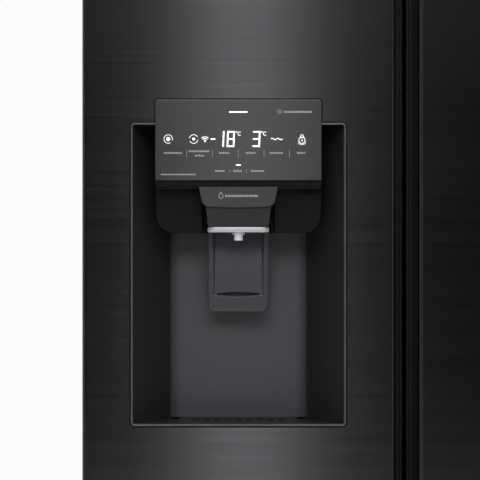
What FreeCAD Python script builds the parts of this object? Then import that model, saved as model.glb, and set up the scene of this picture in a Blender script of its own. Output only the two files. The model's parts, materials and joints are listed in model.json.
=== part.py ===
import FreeCAD, Part
import math
import os
import re
import Sketcher

# French door refrigerator: two upper doors with a folding flap between them, an ice and water
# dispenser in the left door, and two freezer drawers below. Millimetres, +Z up, origin on the
# floor under the middle of the cabinet, front facing -Y.

SIZES = {
    # cabinet
    "case_width": 840,
    "case_height": 1757,
    "overall_depth": 734,
    "case_bottom": 32,
    "steel": 0.8,
    "liner_wall": 1.5,
    "side_wall": 45,
    "top_wall": 48,
    "rear_wall": 60,
    "flange_width": 22,
    "divider_height": 60,
    "rail_height": 38,
    "rail_depth": 30,
    "freezer_side_wall": 55,
    "freezer_rear_wall": 70,
    "freezer_floor_wall": 58,
    "machine_height": 268,
    "machine_depth": 215,
    "machine_side": 30,
    "machine_wall": 50,
    # doors and drawer fronts
    "door_thickness": 100,
    "door_side_inset": 1.5,
    "door_gap": 6,
    "row_gap": 8,
    "door_top_drop": 7,
    "trim_proud": 1,
    "front_bottom": 50,
    "lower_front_height": 345,
    "upper_front_height": 312,
    "cap_wall": 2,
    "edge_round": 4.5,
    "gasket_depth": 7,
    "gasket_width": 11,
    "gasket_gap": 1,
    "gasket_side_inset": 14,
    "gasket_edge_inset": 3,
    # pocket handles
    "handle_gap": 13,
    "lip_depth": 13,
    "pocket_mouth": 25,
    "pocket_reach": 26,
    "handle_wall": 2,
    "handle_plug": 10,
    # hinges
    "hinge_inset": 21,
    "hinge_back": 44,
    "pin_radius": 6,
    "pin_play": 0.1,
    "pin_length": 24,
    "hinge_plate": 4,
    "hinge_arm": 16,
    "hinge_offset": 7,
    "hinge_tail": 44,
    "cover_height": 30,
    "cover_wall": 2.5,
    "cover_side": 65,
    "cover_front": 26,
    "cover_reach": 110,
    # dispenser
    "tap_shift": 6.25,
    "trim_half": 139.1,
    "trim_drop": 336.5,
    "trim_height": 391.9,
    "trim_wall": 2.1,
    "trim_depth": 12,
    "trim_round": 5,
    "trim_gap": 1,
    "well_back_half": 90,
    "well_depth": 89,
    "well_wall": 2.5,
    "well_floor": 2.1,
    "well_round": 14,
    "display_half": 107.3,
    "display_rise": 317.1,
    "display_height": 104.4,
    "display_depth": 14,
    "display_round": 3,
    "hood_rise": 249.4,
    "band_rise": 309,
    "hood_set_back": 22,
    "hood_depth": 33,
    "hood_round": 23,
    "chute_top_half": 46,
    "chute_half": 38.7,
    "chute_depth": 35,
    "chute_wall": 3,
    "chute_front": 5,
    "tab_half": 51,
    "tab_foot_half": 46,
    "tab_rise": 283.6,
    "ring_rise": 250.3,
    "ring_height": 6.8,
    "ring_half": 40,
    "ring_round": 12,
    "nozzle_radius": 5.8,
    "nozzle_collar": 8.4,
    "nozzle_drop": 10.5,
    "nozzle_bore": 3,
    "lever_half": 40.3,
    "lever_rise": 145.7,
    "lever_thickness": 10,
    "lever_round": 11,
    "lever_pivot_rise": 15,
    "lever_pin": 3,
    "grille_half": 78,
    "grille_height": 2.4,
    # inside of the doors
    "dike_depth": 75,
    "dike_wall": 15,
    "dike_hinge_inset": 56,
    "dike_meeting_inset": 57,
    "dike_bottom_gap": 11,
    "dike_top_gap": 17,
    "bin_wall": 3,
    "bin_height": 95,
    "bin_reach": 92,
    "ice_room_depth": 142,
    "ice_room_wall": 12,
    "bulge_foam": 52,
    "bulge_wall": 3,
    "bulge_drop": 24,
    # folding flap between the doors
    "flap_width": 56,
    "flap_thickness": 18,
    "flap_pivot_inset": 33,
    "flap_pivot_back": 17,
    "flap_pin": 3,
    # shelves and drawers inside
    "shelf_front": 154,
    "shelf_rear_gap": 42,
    "shelf_height": 12,
    "shelf_rim": 12,
    "glass": 4,
    "crisper_height": 195,
    "crisper_wall": 3,
    "duct_half": 140,
    "duct_depth": 36,
    "basket_wall": 3,
    "basket_side_gap": 30,
    "runner_gap": 1.5,
    "runner_height": 36,
    "runner_width": 11,
    # feet, rollers and machinery
    "frame_height": 14,
    "frame_sheet": 2,
    "leg_inset": 45,
    "leg_back": 22,
    "leg_radius": 20,
    "leg_screw": 5,
    "roller_radius": 14,
    "roller_width": 20,
    "roller_inset": 57,
    "roller_front": 34,
    "axle_radius": 3,
    "compressor_radius": 68,
    "compressor_height": 150,
    "compressor_inset": 95,
    "fan_inset": 120,
    "fan_radius": 72,
    "fan_hub": 20,
    "gland_bore": 4.5,
    "gland_inset": 50,
    "gland_rise": 60,
}

# Places worked out from the sizes, each from those above it.
PLACES = {
    "half_width": "case_width / 2",
    "front": "-overall_depth / 2",
    "rear": "overall_depth / 2",
    "door_face": "front + trim_proud",
    "door_back": "front + door_thickness",
    "case_front": "door_back + gasket_depth + gasket_gap",
    "door_edge": "half_width - door_side_inset",
    "meet_edge": "door_gap / 2",
    "lower_top": "front_bottom + lower_front_height",
    "upper_bottom": "lower_top + row_gap",
    "upper_top": "upper_bottom + upper_front_height",
    "door_bottom": "upper_top + row_gap",
    "door_top": "case_height - door_top_drop",
    "divider_middle": "upper_top + row_gap / 2",
    "fridge_floor": "divider_middle + divider_height / 2",
    "fridge_roof": "case_height - top_wall",
    "fridge_half": "half_width - side_wall",
    "fridge_rear": "rear - rear_wall",
    "freezer_floor": "case_bottom + freezer_floor_wall",
    "freezer_roof": "divider_middle - divider_height / 2",
    "freezer_half": "half_width - freezer_side_wall",
    "freezer_rear": "rear - freezer_rear_wall",
    "machine_front": "rear - machine_depth",
    "machine_top": "case_bottom + machine_height",
    "step_front": "machine_front - machine_wall",
    "step_top": "machine_top + machine_wall",
    "rail_bottom": "lower_top + row_gap / 2 - rail_height / 2",
    "rail_top": "rail_bottom + rail_height",
    "skin_inside": "door_face + steel",
    "liner_face": "door_back - liner_wall",
    "hinge_x": "door_edge - hinge_inset",
    "hinge_y": "door_face + hinge_back",
    "flap_x": "-meet_edge - flap_pivot_inset",
    "flap_y": "door_back + flap_pivot_back",
    "dike_rear": "door_back + dike_depth",
    "dike_left": "-door_edge + dike_hinge_inset",
    "dike_right": "-meet_edge - dike_meeting_inset",
    "dike_bottom": "fridge_floor + dike_bottom_gap",
    "dike_top": "fridge_roof - dike_top_gap",
    "tap_x": "-(door_edge + meet_edge) / 2 - tap_shift",
    "trim_bottom": "(door_bottom + door_top) / 2 - trim_drop",
    "display_bottom": "trim_bottom + display_rise",
    "hood_bottom": "trim_bottom + hood_rise",
    "hood_top": "trim_bottom + band_rise",
    "tab_bottom": "trim_bottom + tab_rise",
    "ring_bottom": "trim_bottom + ring_rise",
    "lever_foot": "trim_bottom + lever_rise",
    "well_front": "front + trim_depth",
    "well_back": "front + well_depth",
    "trim_top": "trim_bottom + trim_height",
    "display_top": "display_bottom + display_height",
    "display_rear": "front + display_depth",
    "hood_face": "front + hood_set_back",
    "hood_rear": "hood_face + hood_depth",
    "chute_face": "front + chute_front",
    "chute_rear": "chute_face + chute_depth",
    "ring_top": "ring_bottom + ring_height",
    "nozzle_y": "chute_face + chute_wall + nozzle_collar + 1",
    "lever_y": "chute_rear + lever_thickness / 2 + 4",
    "lever_top": "hood_bottom + 0.6",
    "pivot_z": "lever_top + lever_pivot_rise",
    "ice_bottom": "display_top + 10",
    "ice_rear": "door_back + ice_room_depth",
    "bulge_rear": "well_back + bulge_foam",
    "bulge_bottom": "trim_bottom - bulge_drop",
    "ice_left": "dike_left + dike_wall",
    "ice_right": "dike_right - dike_wall",
    "shelf_y": "case_front + shelf_front",
    "shelf_rear": "fridge_rear - shelf_rear_gap",
    "crisper_bottom": "fridge_floor + liner_wall + 5",
    "crisper_top": "crisper_bottom + crisper_height",
    "frame_bottom": "case_bottom - frame_height",
    "leg_x": "half_width - leg_inset",
    "leg_y": "case_front + leg_back",
    "roller_x": "half_width - roller_inset",
    "roller_y": "rear - roller_front",
    "basket_half": "freezer_half - basket_side_gap",
    "fan_y": "(machine_front + rear) / 2",
    "fan_z": "(case_bottom + machine_top) / 2",
    "fan_x": "half_width - machine_side - fan_inset",
}

doc = FreeCAD.newDocument("refrigerator")
NODES = []


def add_sizes():
    """The spreadsheet of driving sizes and the set of places worked out from them."""
    sheet = doc.addObject("Spreadsheet::Sheet", "Sizes")
    for row, (name, size) in enumerate(SIZES.items(), 1):
        sheet.set(f"A{row}", name)
        sheet.set(f"B{row}", str(size))
        sheet.setAlias(f"B{row}", name)
    doc.recompute()
    places = doc.addObject("App::VarSet", "Places")
    for name, rule in PLACES.items():
        places.addProperty("App::PropertyFloat", name, "Places")
        places.setExpression(name, bound(rule))
    doc.recompute()


def bound(rule):
    """A rule in plain names, with each name bound to the sheet or to the set of places."""

    def owner(match):
        word = match.group(0)
        if word in SIZES:
            return f"Sizes.{word}"
        return f"Places.{word}" if word in PLACES else word

    return re.sub(r"[A-Za-z_]\w*", owner, str(rule))


def bind(obj, **rules):
    for name, rule in rules.items():
        obj.setExpression(name.replace("__", "."), bound(rule))
    return obj


def place(obj, x="0", y="0", z="0"):
    return bind(obj, Placement__Base__x=x, Placement__Base__y=y, Placement__Base__z=z)


def box(name, x, y, z):
    """A block between the two rules of each of x, y and z."""
    block = doc.addObject("Part::Box", name)
    bind(
        block,
        Length=f"({x[1]}) - ({x[0]})",
        Width=f"({y[1]}) - ({y[0]})",
        Height=f"({z[1]}) - ({z[0]})",
    )
    return place(block, x[0], y[0], z[0])


TURNS = {
    "x": FreeCAD.Rotation(FreeCAD.Vector(0, 1, 0), 90),
    "y": FreeCAD.Rotation(FreeCAD.Vector(1, 0, 0), -90),
    "z": FreeCAD.Rotation(),
}


def rod(name, along, radius, length, x, y, z):
    """A cylinder from (x, y, z) in the positive direction of one axis."""
    cylinder = doc.addObject("Part::Cylinder", name)
    cylinder.Placement = FreeCAD.Placement(FreeCAD.Vector(), TURNS[along])
    bind(cylinder, Radius=radius, Height=length)
    return place(cylinder, x, y, z)


def fuse(name, shapes):
    joined = doc.addObject("Part::MultiFuse", name)
    joined.Shapes = shapes
    joined.Refine = True
    return joined


def cut(name, base, tools):
    """base with every tool taken away."""
    result = doc.addObject("Part::Cut", name)
    result.Base = base
    result.Tool = tools[0] if len(tools) == 1 else fuse(name + "_tools", tools)
    result.Refine = True
    return result


def group(name, pieces):
    """Several solids that make one sub-part."""
    together = doc.addObject("Part::Compound", name)
    together.Links = pieces
    return together


def mirror(name, source):
    """The same piece on the other side of the middle plane."""
    other = doc.addObject("Part::Mirroring", name)
    other.Source = source
    other.Normal = FreeCAD.Vector(1, 0, 0)
    return other


PLANES = {"XY": ("XY_Plane", 2), "XZ": ("XZ_Plane", 1), "YZ": ("YZ_Plane", 0)}


def sketch_on(body, name, plane, points, offset="0"):
    """A closed outline through the points, each coordinate bound to its rule."""
    sketch = body.newObject("Sketcher::SketchObject", name)
    role = PLANES[plane][0]
    support = [f for f in body.Origin.OriginFeatures if f.Role == role][0]
    sketch.AttachmentSupport = (support, [""])
    sketch.MapMode = "FlatFace"
    bind(sketch, AttachmentOffset__Base__z=offset)
    count = len(points)
    corners = [FreeCAD.Vector(10 * math.cos(a), 10 * math.sin(a), 0) for a in
               [2 * math.pi * i / count for i in range(count)]]
    for i in range(count):
        sketch.addGeometry(Part.LineSegment(corners[i], corners[(i + 1) % count]), False)
    for i in range(count):
        sketch.addConstraint(Sketcher.Constraint("Coincident", i, 2, (i + 1) % count, 1))
    for i, point in enumerate(points):
        for kind, rule, start in zip(("DistanceX", "DistanceY"), point, corners[i]):
            at = sketch.addConstraint(Sketcher.Constraint(kind, -1, 1, i, 1, float(start)))
            sketch.setExpression(f"Constraints[{at}]", bound(rule))
    doc.recompute()
    return sketch


def profile(name, plane, points, span, rounds=None):
    """A body padded from an outline across span, with the corners named in rounds made round."""
    body = doc.addObject("PartDesign::Body", name)
    offset = f"-({span[1]})" if plane == "XZ" else span[0]
    sketch = sketch_on(body, name + "_outline", plane, points, offset)
    pad = body.newObject("PartDesign::Pad", name + "_pad")
    pad.Profile = sketch
    bind(pad, Length=f"({span[1]}) - ({span[0]})")
    doc.recompute()
    last = pad
    axis = PLANES[plane][1]
    for radius in sorted(set((rounds or {}).values())):
        spots = [sketch.Placement.multVec(sketch.Geometry[i].StartPoint)
                 for i, wanted in rounds.items() if wanted == radius]
        edges = [f"Edge{n}" for n, edge in enumerate(last.Shape.Edges, 1)
                 if stands_on(edge, spots, axis)]
        fillet = body.newObject("PartDesign::Fillet", name + "_round")
        fillet.Base = (last, edges)
        bind(fillet, Radius=radius)
        doc.recompute()
        last = fillet
    return body


def stands_on(edge, spots, axis):
    """Whether a straight edge runs along the axis through one of the spots."""
    if len(edge.Vertexes) != 2:
        return False
    first, second = (list(v.Point) for v in edge.Vertexes)
    for point in (first, second):
        point[axis] = 0
    if math.dist(first, second) > 1e-3:
        return False
    flat = [[0 if i == axis else spot[i] for i in range(3)] for spot in spots]
    return any(math.dist(first, spot) < 1e-3 for spot in flat)


def turned(name, points):
    """A body turned about the Z axis from an outline of (radius, height) points."""
    body = doc.addObject("PartDesign::Body", name)
    sketch = sketch_on(body, name + "_outline", "XZ", points)
    turn = body.newObject("PartDesign::Revolution", name + "_turn")
    turn.Profile = sketch
    turn.ReferenceAxis = (sketch, ["V_Axis"])
    turn.Angle = 360
    doc.recompute()
    return body


def node(name, obj):
    """Names the finished sub-part."""
    obj.Label = name
    NODES.append(obj)
    return obj


def tray(name, x, y, z, wall, floor=None):
    """An open-topped box with walls of one thickness."""
    outer = box(name + "_outer", x, y, z)
    inner = box(
        name + "_inner",
        (f"{x[0]} + {wall}", f"{x[1]} - {wall}"),
        (f"{y[0]} + {wall}", f"{y[1]} - {wall}"),
        (f"{z[0]} + {floor or wall}", f"{z[1]} + 1"),
    )
    return cut(name, outer, [inner])


def ring(name, x, y, z, width):
    """A rectangular ring that lies in the XZ plane."""
    outer = box(name + "_outer", x, y, z)
    inner = box(
        name + "_inner",
        (f"{x[0]} + {width}", f"{x[1]} - {width}"),
        (f"{y[0]} - 1", f"{y[1]} + 1"),
        (f"{z[0]} + {width}", f"{z[1]} - {width}"),
    )
    return cut(name, outer, [inner])


# ---------------------------------------------------------------- cabinet

def hinge_plate_box(name, level):
    """The flat arm of a hinge, over or under the door's pin, for the left side."""
    low = "case_height" if level == "top" else "upper_top + (row_gap - hinge_plate) / 2"
    return box(
        name,
        ("-hinge_x - hinge_arm", "-hinge_x + hinge_arm + hinge_offset"),
        ("hinge_y - hinge_arm", "case_front + hinge_tail"),
        (low, f"{low} + hinge_plate"),
    )


def add_hinges():
    """Top and middle hinges: a flat arm on the cabinet and a pin into the door's end cap."""
    low = "upper_top + (row_gap + hinge_plate) / 2"
    top_pin = rod("top_pin", "z", "pin_radius", "pin_length + door_top_drop",
                  "-hinge_x", "hinge_y", "door_top - pin_length")
    mid_pin = rod("mid_pin", "z", "pin_radius", f"door_bottom + pin_length - ({low})",
                  "-hinge_x", "hinge_y", low)
    for name, level, pin in (("top_hinges", "top", top_pin), ("mid_hinges", "mid", mid_pin)):
        left = fuse(name + "_left", [hinge_plate_box(name + "_arm", level), pin])
        node(name, group(name, [left, mirror(name + "_right", left)]))


def hinge_slots(name):
    """Room for the middle hinge arms where they pass into the cabinet."""
    left = hinge_plate_box(name + "_slot", "mid")
    return [left, mirror(name + "_slot_right", left)]


def freezer_room(name, inset, mouth):
    """The stepped freezer space, over the machine room, drawn in by inset."""
    wall = f"{inset}"
    points = [
        (mouth, f"freezer_floor + {wall}"),
        (f"step_front - {wall}", f"freezer_floor + {wall}"),
        (f"step_front - {wall}", f"step_top + {wall}"),
        (f"freezer_rear - {wall}", f"step_top + {wall}"),
        (f"freezer_rear - {wall}", f"freezer_roof - {wall}"),
        (mouth, f"freezer_roof - {wall}"),
    ]
    return profile(name, "YZ", points, (f"-freezer_half + {wall}", f"freezer_half - {wall}"))


def fridge_room(name, inset, mouth):
    return box(
        name,
        (f"-fridge_half + {inset}", f"fridge_half - {inset}"),
        (mouth, f"fridge_rear - {inset}"),
        (f"fridge_floor + {inset}", f"fridge_roof - {inset}"),
    )


def add_shell():
    """Folded steel wrap of the sides and top, with a flange round the front opening.

    Its rear edges turn in beside the machine room."""
    outer = box("shell_outer", ("-half_width", "half_width"), ("case_front", "rear"),
                ("case_bottom", "case_height"))
    inner = box("shell_inner", ("-half_width + steel", "half_width - steel"),
                ("case_front + steel", "rear + 1"), ("case_bottom - 1", "case_height - steel"))
    mouth = box("shell_mouth", ("-half_width + flange_width", "half_width - flange_width"),
                ("case_front - 1", "case_front + steel + 1"),
                ("case_bottom - 1", "case_height - flange_width"))
    wrap = cut("shell_wrap", outer, [inner, mouth] + hinge_slots("shell"))
    strip = box("shell_rear_strip", ("-half_width", "-half_width + machine_side"),
                ("rear - steel", "rear"), ("case_bottom", "machine_top"))
    node("cabinet_shell", fuse("cabinet_shell", [wrap, strip, mirror("shell_strip_right", strip)]))
    node("rear_panel", box("rear_panel", ("-half_width + steel", "half_width - steel"),
                           ("rear - steel", "rear"), ("machine_top", "case_height - steel")))


def add_insulation():
    """Foamed block between the shell and the liners, with the machine room below at the back."""
    block = box("foam_block", ("-half_width + steel", "half_width - steel"),
                ("case_front + liner_wall", "rear - steel"),
                ("case_bottom", "case_height - steel"))
    machine_room = box("machine_room", ("-half_width + machine_side", "half_width - machine_side"),
                       ("machine_front", "rear + 1"), ("case_bottom - 1", "machine_top"))
    rooms = [fridge_room("foam_fridge", "0", "case_front - 1"),
             freezer_room("foam_freezer", "0", "case_front - 1"), machine_room]
    node("cabinet_insulation", cut("cabinet_insulation", block, rooms + hinge_slots("foam")))


def add_liners():
    """Moulded inner liners with a flange on the cabinet's front."""
    side = ("-half_width + flange_width", "half_width - flange_width")
    depth = ("case_front", "case_front + liner_wall")
    fridge_flange = box("fridge_flange", side, depth,
                        ("fridge_floor - 8", "case_height - flange_width"))
    freezer_flange = box("freezer_flange", side, depth, ("case_bottom", "freezer_roof + 8"))
    fridge = fuse("fridge_outside", [fridge_flange, fridge_room("fridge_shape", "0", "case_front")])
    freezer = fuse("freezer_outside",
                   [freezer_flange, freezer_room("freezer_shape", "0", "case_front")])
    node("fridge_liner", cut("fridge_liner", fridge,
                             [fridge_room("fridge_hollow", "liner_wall", "case_front - 1")]))
    node("freezer_liner", cut("freezer_liner", freezer,
                              [freezer_room("freezer_hollow", "liner_wall", "case_front - 1")]))


def add_rails():
    """Steel strip between the two liners, and the channel between the freezer drawers."""
    side = ("-half_width + flange_width", "half_width - flange_width")
    strip = cut("divider_strip", box("strip_blank", side, ("case_front", "case_front + liner_wall"),
                                     ("freezer_roof + 8", "fridge_floor - 8")),
                hinge_slots("strip"))
    span = ("-freezer_half + liner_wall", "freezer_half - liner_wall")
    channel = cut(
        "drawer_channel",
        box("channel_blank", span, ("case_front", "case_front + rail_depth"),
            ("rail_bottom", "rail_top")),
        [box("channel_hollow", (f"{span[0]} - 1", f"{span[1]} + 1"),
             ("case_front + frame_sheet", "case_front + rail_depth + 1"),
             ("rail_bottom + frame_sheet", "rail_top - frame_sheet"))])
    node("front_rails", group("front_rails", [strip, channel]))


def add_hinge_covers():
    """Plastic covers over the top hinges."""
    x = ("-door_edge", "-hinge_x + cover_side")
    y = ("hinge_y - cover_front", "case_front + cover_reach")
    outer = box("cover_outer", x, y, ("case_height", "case_height + cover_height"))
    inner = box("cover_inner", (f"{x[0]} + cover_wall", f"{x[1]} - cover_wall"),
                (f"{y[0]} + cover_wall", f"{y[1]} - cover_wall"),
                ("case_height - 1", "case_height + cover_height - cover_wall"))
    left = cut("cover_left", outer, [inner])
    node("hinge_covers", group("hinge_covers", [left, mirror("cover_right", left)]))


def add_base():
    """Base frame with screw bosses for the front legs and forks for the rear rollers."""
    x = ("-half_width + 2", "half_width - 2")
    y = ("case_front + 2", "rear - 4")
    pan = cut("pan", box("pan_outer", x, y, ("frame_bottom", "case_bottom")),
              [box("pan_inner", (f"{x[0]} + frame_sheet", f"{x[1]} - frame_sheet"),
                   (f"{y[0]} + frame_sheet", f"{y[1]} - frame_sheet"),
                   ("frame_bottom - 1", "case_bottom - frame_sheet"))])
    pieces = [pan]
    holes = []
    for side, sign in (("left", "-"), ("right", "")):
        x_leg = f"{sign}leg_x"
        pieces.append(box(f"{side}_boss", (f"{x_leg} - 14", f"{x_leg} + 14"),
                          ("leg_y - 14", "leg_y + 14"),
                          ("frame_bottom", "case_bottom - frame_sheet")))
        holes.append(rod(f"{side}_boss_hole", "z", "leg_screw + pin_play",
                         "frame_height - frame_sheet", x_leg, "leg_y", "frame_bottom"))
        for end, shift in (("in", "-roller_width / 2 - 3"), ("out", "roller_width / 2 + 1")):
            edge = f"{sign}roller_x + {shift}"
            pieces.append(box(f"{side}_fork_{end}", (edge, f"{edge} + 2"),
                              ("roller_y - 8", "roller_y + 8"),
                              ("roller_radius - 6", "case_bottom - frame_sheet")))
        pieces.append(rod(f"{side}_axle", "x", "axle_radius", "roller_width + 6",
                          f"{sign}roller_x - roller_width / 2 - 3", "roller_y", "roller_radius"))
    node("base_frame", cut("base_frame", fuse("base_blank", pieces), holes))
    plate = box("kick_blank", ("-half_width + 6", "half_width - 6"),
                ("case_front - 4", "case_front"), ("10", "front_bottom - 5"))
    slots = [box(f"kick_slot_{i}", (f"{28 * i - 6.5}", f"{28 * i + 6.5}"),
                 ("case_front - 5", "case_front - 1.5"), ("20", "front_bottom - 14"))
             for i in range(-11, 12)]
    node("kick_plate", cut("kick_plate", plate, slots))


def add_feet():
    """Screw legs at the front and rollers at the back."""
    outline = [("0", "0"), ("leg_radius", "0"), ("leg_radius", "5"), ("leg_screw + 5", "9"),
               ("leg_screw", "9"), ("leg_screw", "case_bottom - frame_sheet - 1"),
               ("0", "case_bottom - frame_sheet - 1")]
    for side, sign in (("left", "-"), ("right", "")):
        leg = turned(f"{side}_leg", outline)
        node(f"{side}_leg", place(leg, f"{sign}leg_x", "leg_y", "0"))
    wheels = []
    for side, sign in (("left", "-"), ("right", "")):
        start = f"{sign}roller_x - roller_width / 2"
        wheel = rod(f"{side}_wheel", "x", "roller_radius", "roller_width",
                    start, "roller_y", "roller_radius")
        bore = rod(f"{side}_wheel_bore", "x", "axle_radius + pin_play", "roller_width",
                   start, "roller_y", "roller_radius")
        wheels.append(cut(f"{side}_roller", wheel, [bore]))
    node("rear_rollers", group("rear_rollers", wheels))


# ---------------------------------------------------------------- machine room

def finned_coil(name, x, y, z, tubes, fins):
    """A block of tubes along X through upright fins, between two end plates."""
    left, right = x
    pieces = []
    pitch = f"(({right}) - ({left}) - 1.5) / {fins - 1}"
    for i in range(fins):
        edge = f"{left} + {i} * {pitch}"
        pieces.append(box(f"{name}_fin_{i}", (edge, f"{edge} + 1.5"), y, z))
    rows, columns = tubes
    for row in range(rows):
        for column in range(columns):
            at_y = f"{y[0]} + (({y[1]}) - ({y[0]})) * {(column + 0.5) / columns}"
            at_z = f"{z[0]} + (({z[1]}) - ({z[0]})) * {(row + 0.5) / rows}"
            pieces.append(rod(f"{name}_tube_{row}_{column}", "x", "3",
                              f"({right}) - ({left})", left, at_y, at_z))
    return fuse(name, pieces)


def add_machinery():
    """Compressor, condenser with its fan bracket, the fan, the louvred cover and the gland."""
    top = "compressor_height"
    wide = "compressor_radius"
    shell = turned("compressor_shell", [
        ("0", "0"), (f"{wide} * 0.6", "0"), (f"{wide} * 0.9", "14"), (wide, "34"),
        (wide, f"{top} - 40"), (f"{wide} * 0.92", f"{top} - 20"), (f"{wide} * 0.6", f"{top} - 4"),
        ("0", top)])
    x = "-half_width + machine_side + compressor_inset"
    place(shell, x, "fan_y", "case_bottom + 10")
    foot = box("compressor_foot", (f"{x} - 80", f"{x} + 80"), ("fan_y - 45", "fan_y + 45"),
               ("case_bottom + 12", "case_bottom + 15"))
    studs = [rod(f"compressor_stud_{i}_{j}", "z", "9", "12", f"{x} + {70 * i}",
                 f"fan_y + {34 * j}", "case_bottom") for i in (-1, 1) for j in (-1, 1)]
    node("compressor", fuse("compressor", [shell, foot] + studs))
    coil = finned_coil("condenser_coil", ("-110", "90"), ("machine_front + 30", "rear - 45"),
                       ("case_bottom + 30", "machine_top - 20"), (3, 2), 9)
    hub = rod("fan_motor", "x", "fan_hub", "32", "fan_x + 24", "fan_y", "fan_z")
    shaft = rod("fan_shaft", "x", "axle_radius", "60", "fan_x - 12", "fan_y", "fan_z")
    stand = box("fan_stand", ("fan_x + 34", "fan_x + 38"), ("fan_y - 45", "fan_y + 45"),
                ("case_bottom", "fan_z + 10"))
    floor_bar = box("fan_foot", ("90", "fan_x + 38"), ("fan_y - 12", "fan_y + 12"),
                    ("case_bottom", "case_bottom + 4"))
    riser = box("coil_foot", ("86", "91.5"), ("fan_y - 12", "fan_y + 12"),
                ("case_bottom", "case_bottom + 34"))
    node("condenser", fuse("condenser", [coil, hub, shaft, stand, floor_bar, riser]))
    add_fan()
    add_rear_cover()


def add_fan():
    """Condenser fan: a hub and five slanted blades that run on the motor's shaft."""
    hub = rod("fan_boss", "x", "fan_hub", "22", "fan_x", "fan_y", "fan_z")
    blades = []
    for i in range(5):
        blade = doc.addObject("Part::Box", f"fan_blade_{i}")
        bind(blade, Length="18", Width="4", Height="fan_radius")
        turn = FreeCAD.Rotation(FreeCAD.Vector(1, 0, 0), 72 * i)
        blade.Placement = FreeCAD.Placement(FreeCAD.Vector(), turn)
        side = turn.multVec(FreeCAD.Vector(0, -2, 0))
        blades.append(place(blade, "fan_x + 2", f"fan_y + {side.y}", f"fan_z + {side.z}"))
    bore = rod("fan_bore", "x", "axle_radius + pin_play", "30", "fan_x - 2", "fan_y", "fan_z")
    node("condenser_fan", cut("condenser_fan", fuse("fan_blank", [hub] + blades), [bore]))


def add_rear_cover():
    """Louvred cover of the machine room and the rubber gland for the mains cord."""
    x = "half_width - machine_side - 0.5"
    plate = box("machine_plate", (f"-({x})", x), ("rear - 4", "rear - 2"),
                ("case_bottom + 2", "machine_top - 2"))
    slots = []
    for row, (low, high) in enumerate(((70, 120), (160, 230))):
        for i in range(-9, 10):
            slots.append(box(f"louvre_{row}_{i + 9}", (f"{28 * i - 4}", f"{28 * i + 4}"),
                             ("rear - 5", "rear - 1"),
                             (f"case_bottom + {low}", f"case_bottom + {high}")))
    gland_x = "half_width - machine_side - gland_inset"
    gland_z = "case_bottom + gland_rise"
    hole = rod("gland_hole", "y", "gland_bore + 5", "4", gland_x, "rear - 5", gland_z)
    node("machine_cover", cut("machine_cover", plate, slots + [hole]))
    rim = rod("gland_rim", "y", "gland_bore + 8", "2", gland_x, "rear - 2", gland_z)
    neck = rod("gland_neck", "y", "gland_bore + 5", "8", gland_x, "rear - 10", gland_z)
    bore = rod("gland_bore_hole", "y", "gland_bore", "12", gland_x, "rear - 11", gland_z)
    node("mains_gland", cut("mains_gland", fuse("gland_blank", [rim, neck]), [bore]))


def add_air_system():
    """Air ducts on the rear walls and the two evaporators behind them."""
    ducts = []
    coils = []
    rooms = (
        ("fridge", "duct_half", "fridge_rear - liner_wall", "fridge_floor + 45", "fridge_roof - 30"),
        ("freezer", "duct_half + 60", "freezer_rear - liner_wall", "step_top + 30",
         "freezer_roof - 14"),
    )
    for name, half, wall, low, high in rooms:
        outer = box(f"{name}_duct_outer", (f"-({half})", half), (f"{wall} - duct_depth", wall),
                    (low, high))
        inner = box(f"{name}_duct_inner", (f"-({half}) + 3", f"{half} - 3"),
                    (f"{wall} - duct_depth + 3", f"{wall} + 1"), (f"{low} + 3", f"{high} - 3"))
        slots = []
        for i in range(4):
            at = f"{low} + (({high}) - ({low})) * {(i + 0.6) / 4}"
            slots.append(box(f"{name}_vent_{i}", ("-50", "50"),
                             (f"{wall} - duct_depth - 1", f"{wall} - duct_depth + 4"),
                             (at, f"{at} + 7")))
        ducts.append(cut(f"{name}_duct", outer, [inner] + slots))
        coils.append(finned_coil(f"{name}_evaporator", (f"-({half}) + 20", f"{half} - 20"),
                                 (f"{wall} - duct_depth + 7", wall),
                                 (f"{low} + 10", f"{low} + 190"), (5, 1), 9))
    node("air_ducts", group("air_ducts", ducts))
    node("evaporators", group("evaporators", coils))


# ---------------------------------------------------------------- shelves and crispers

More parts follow.
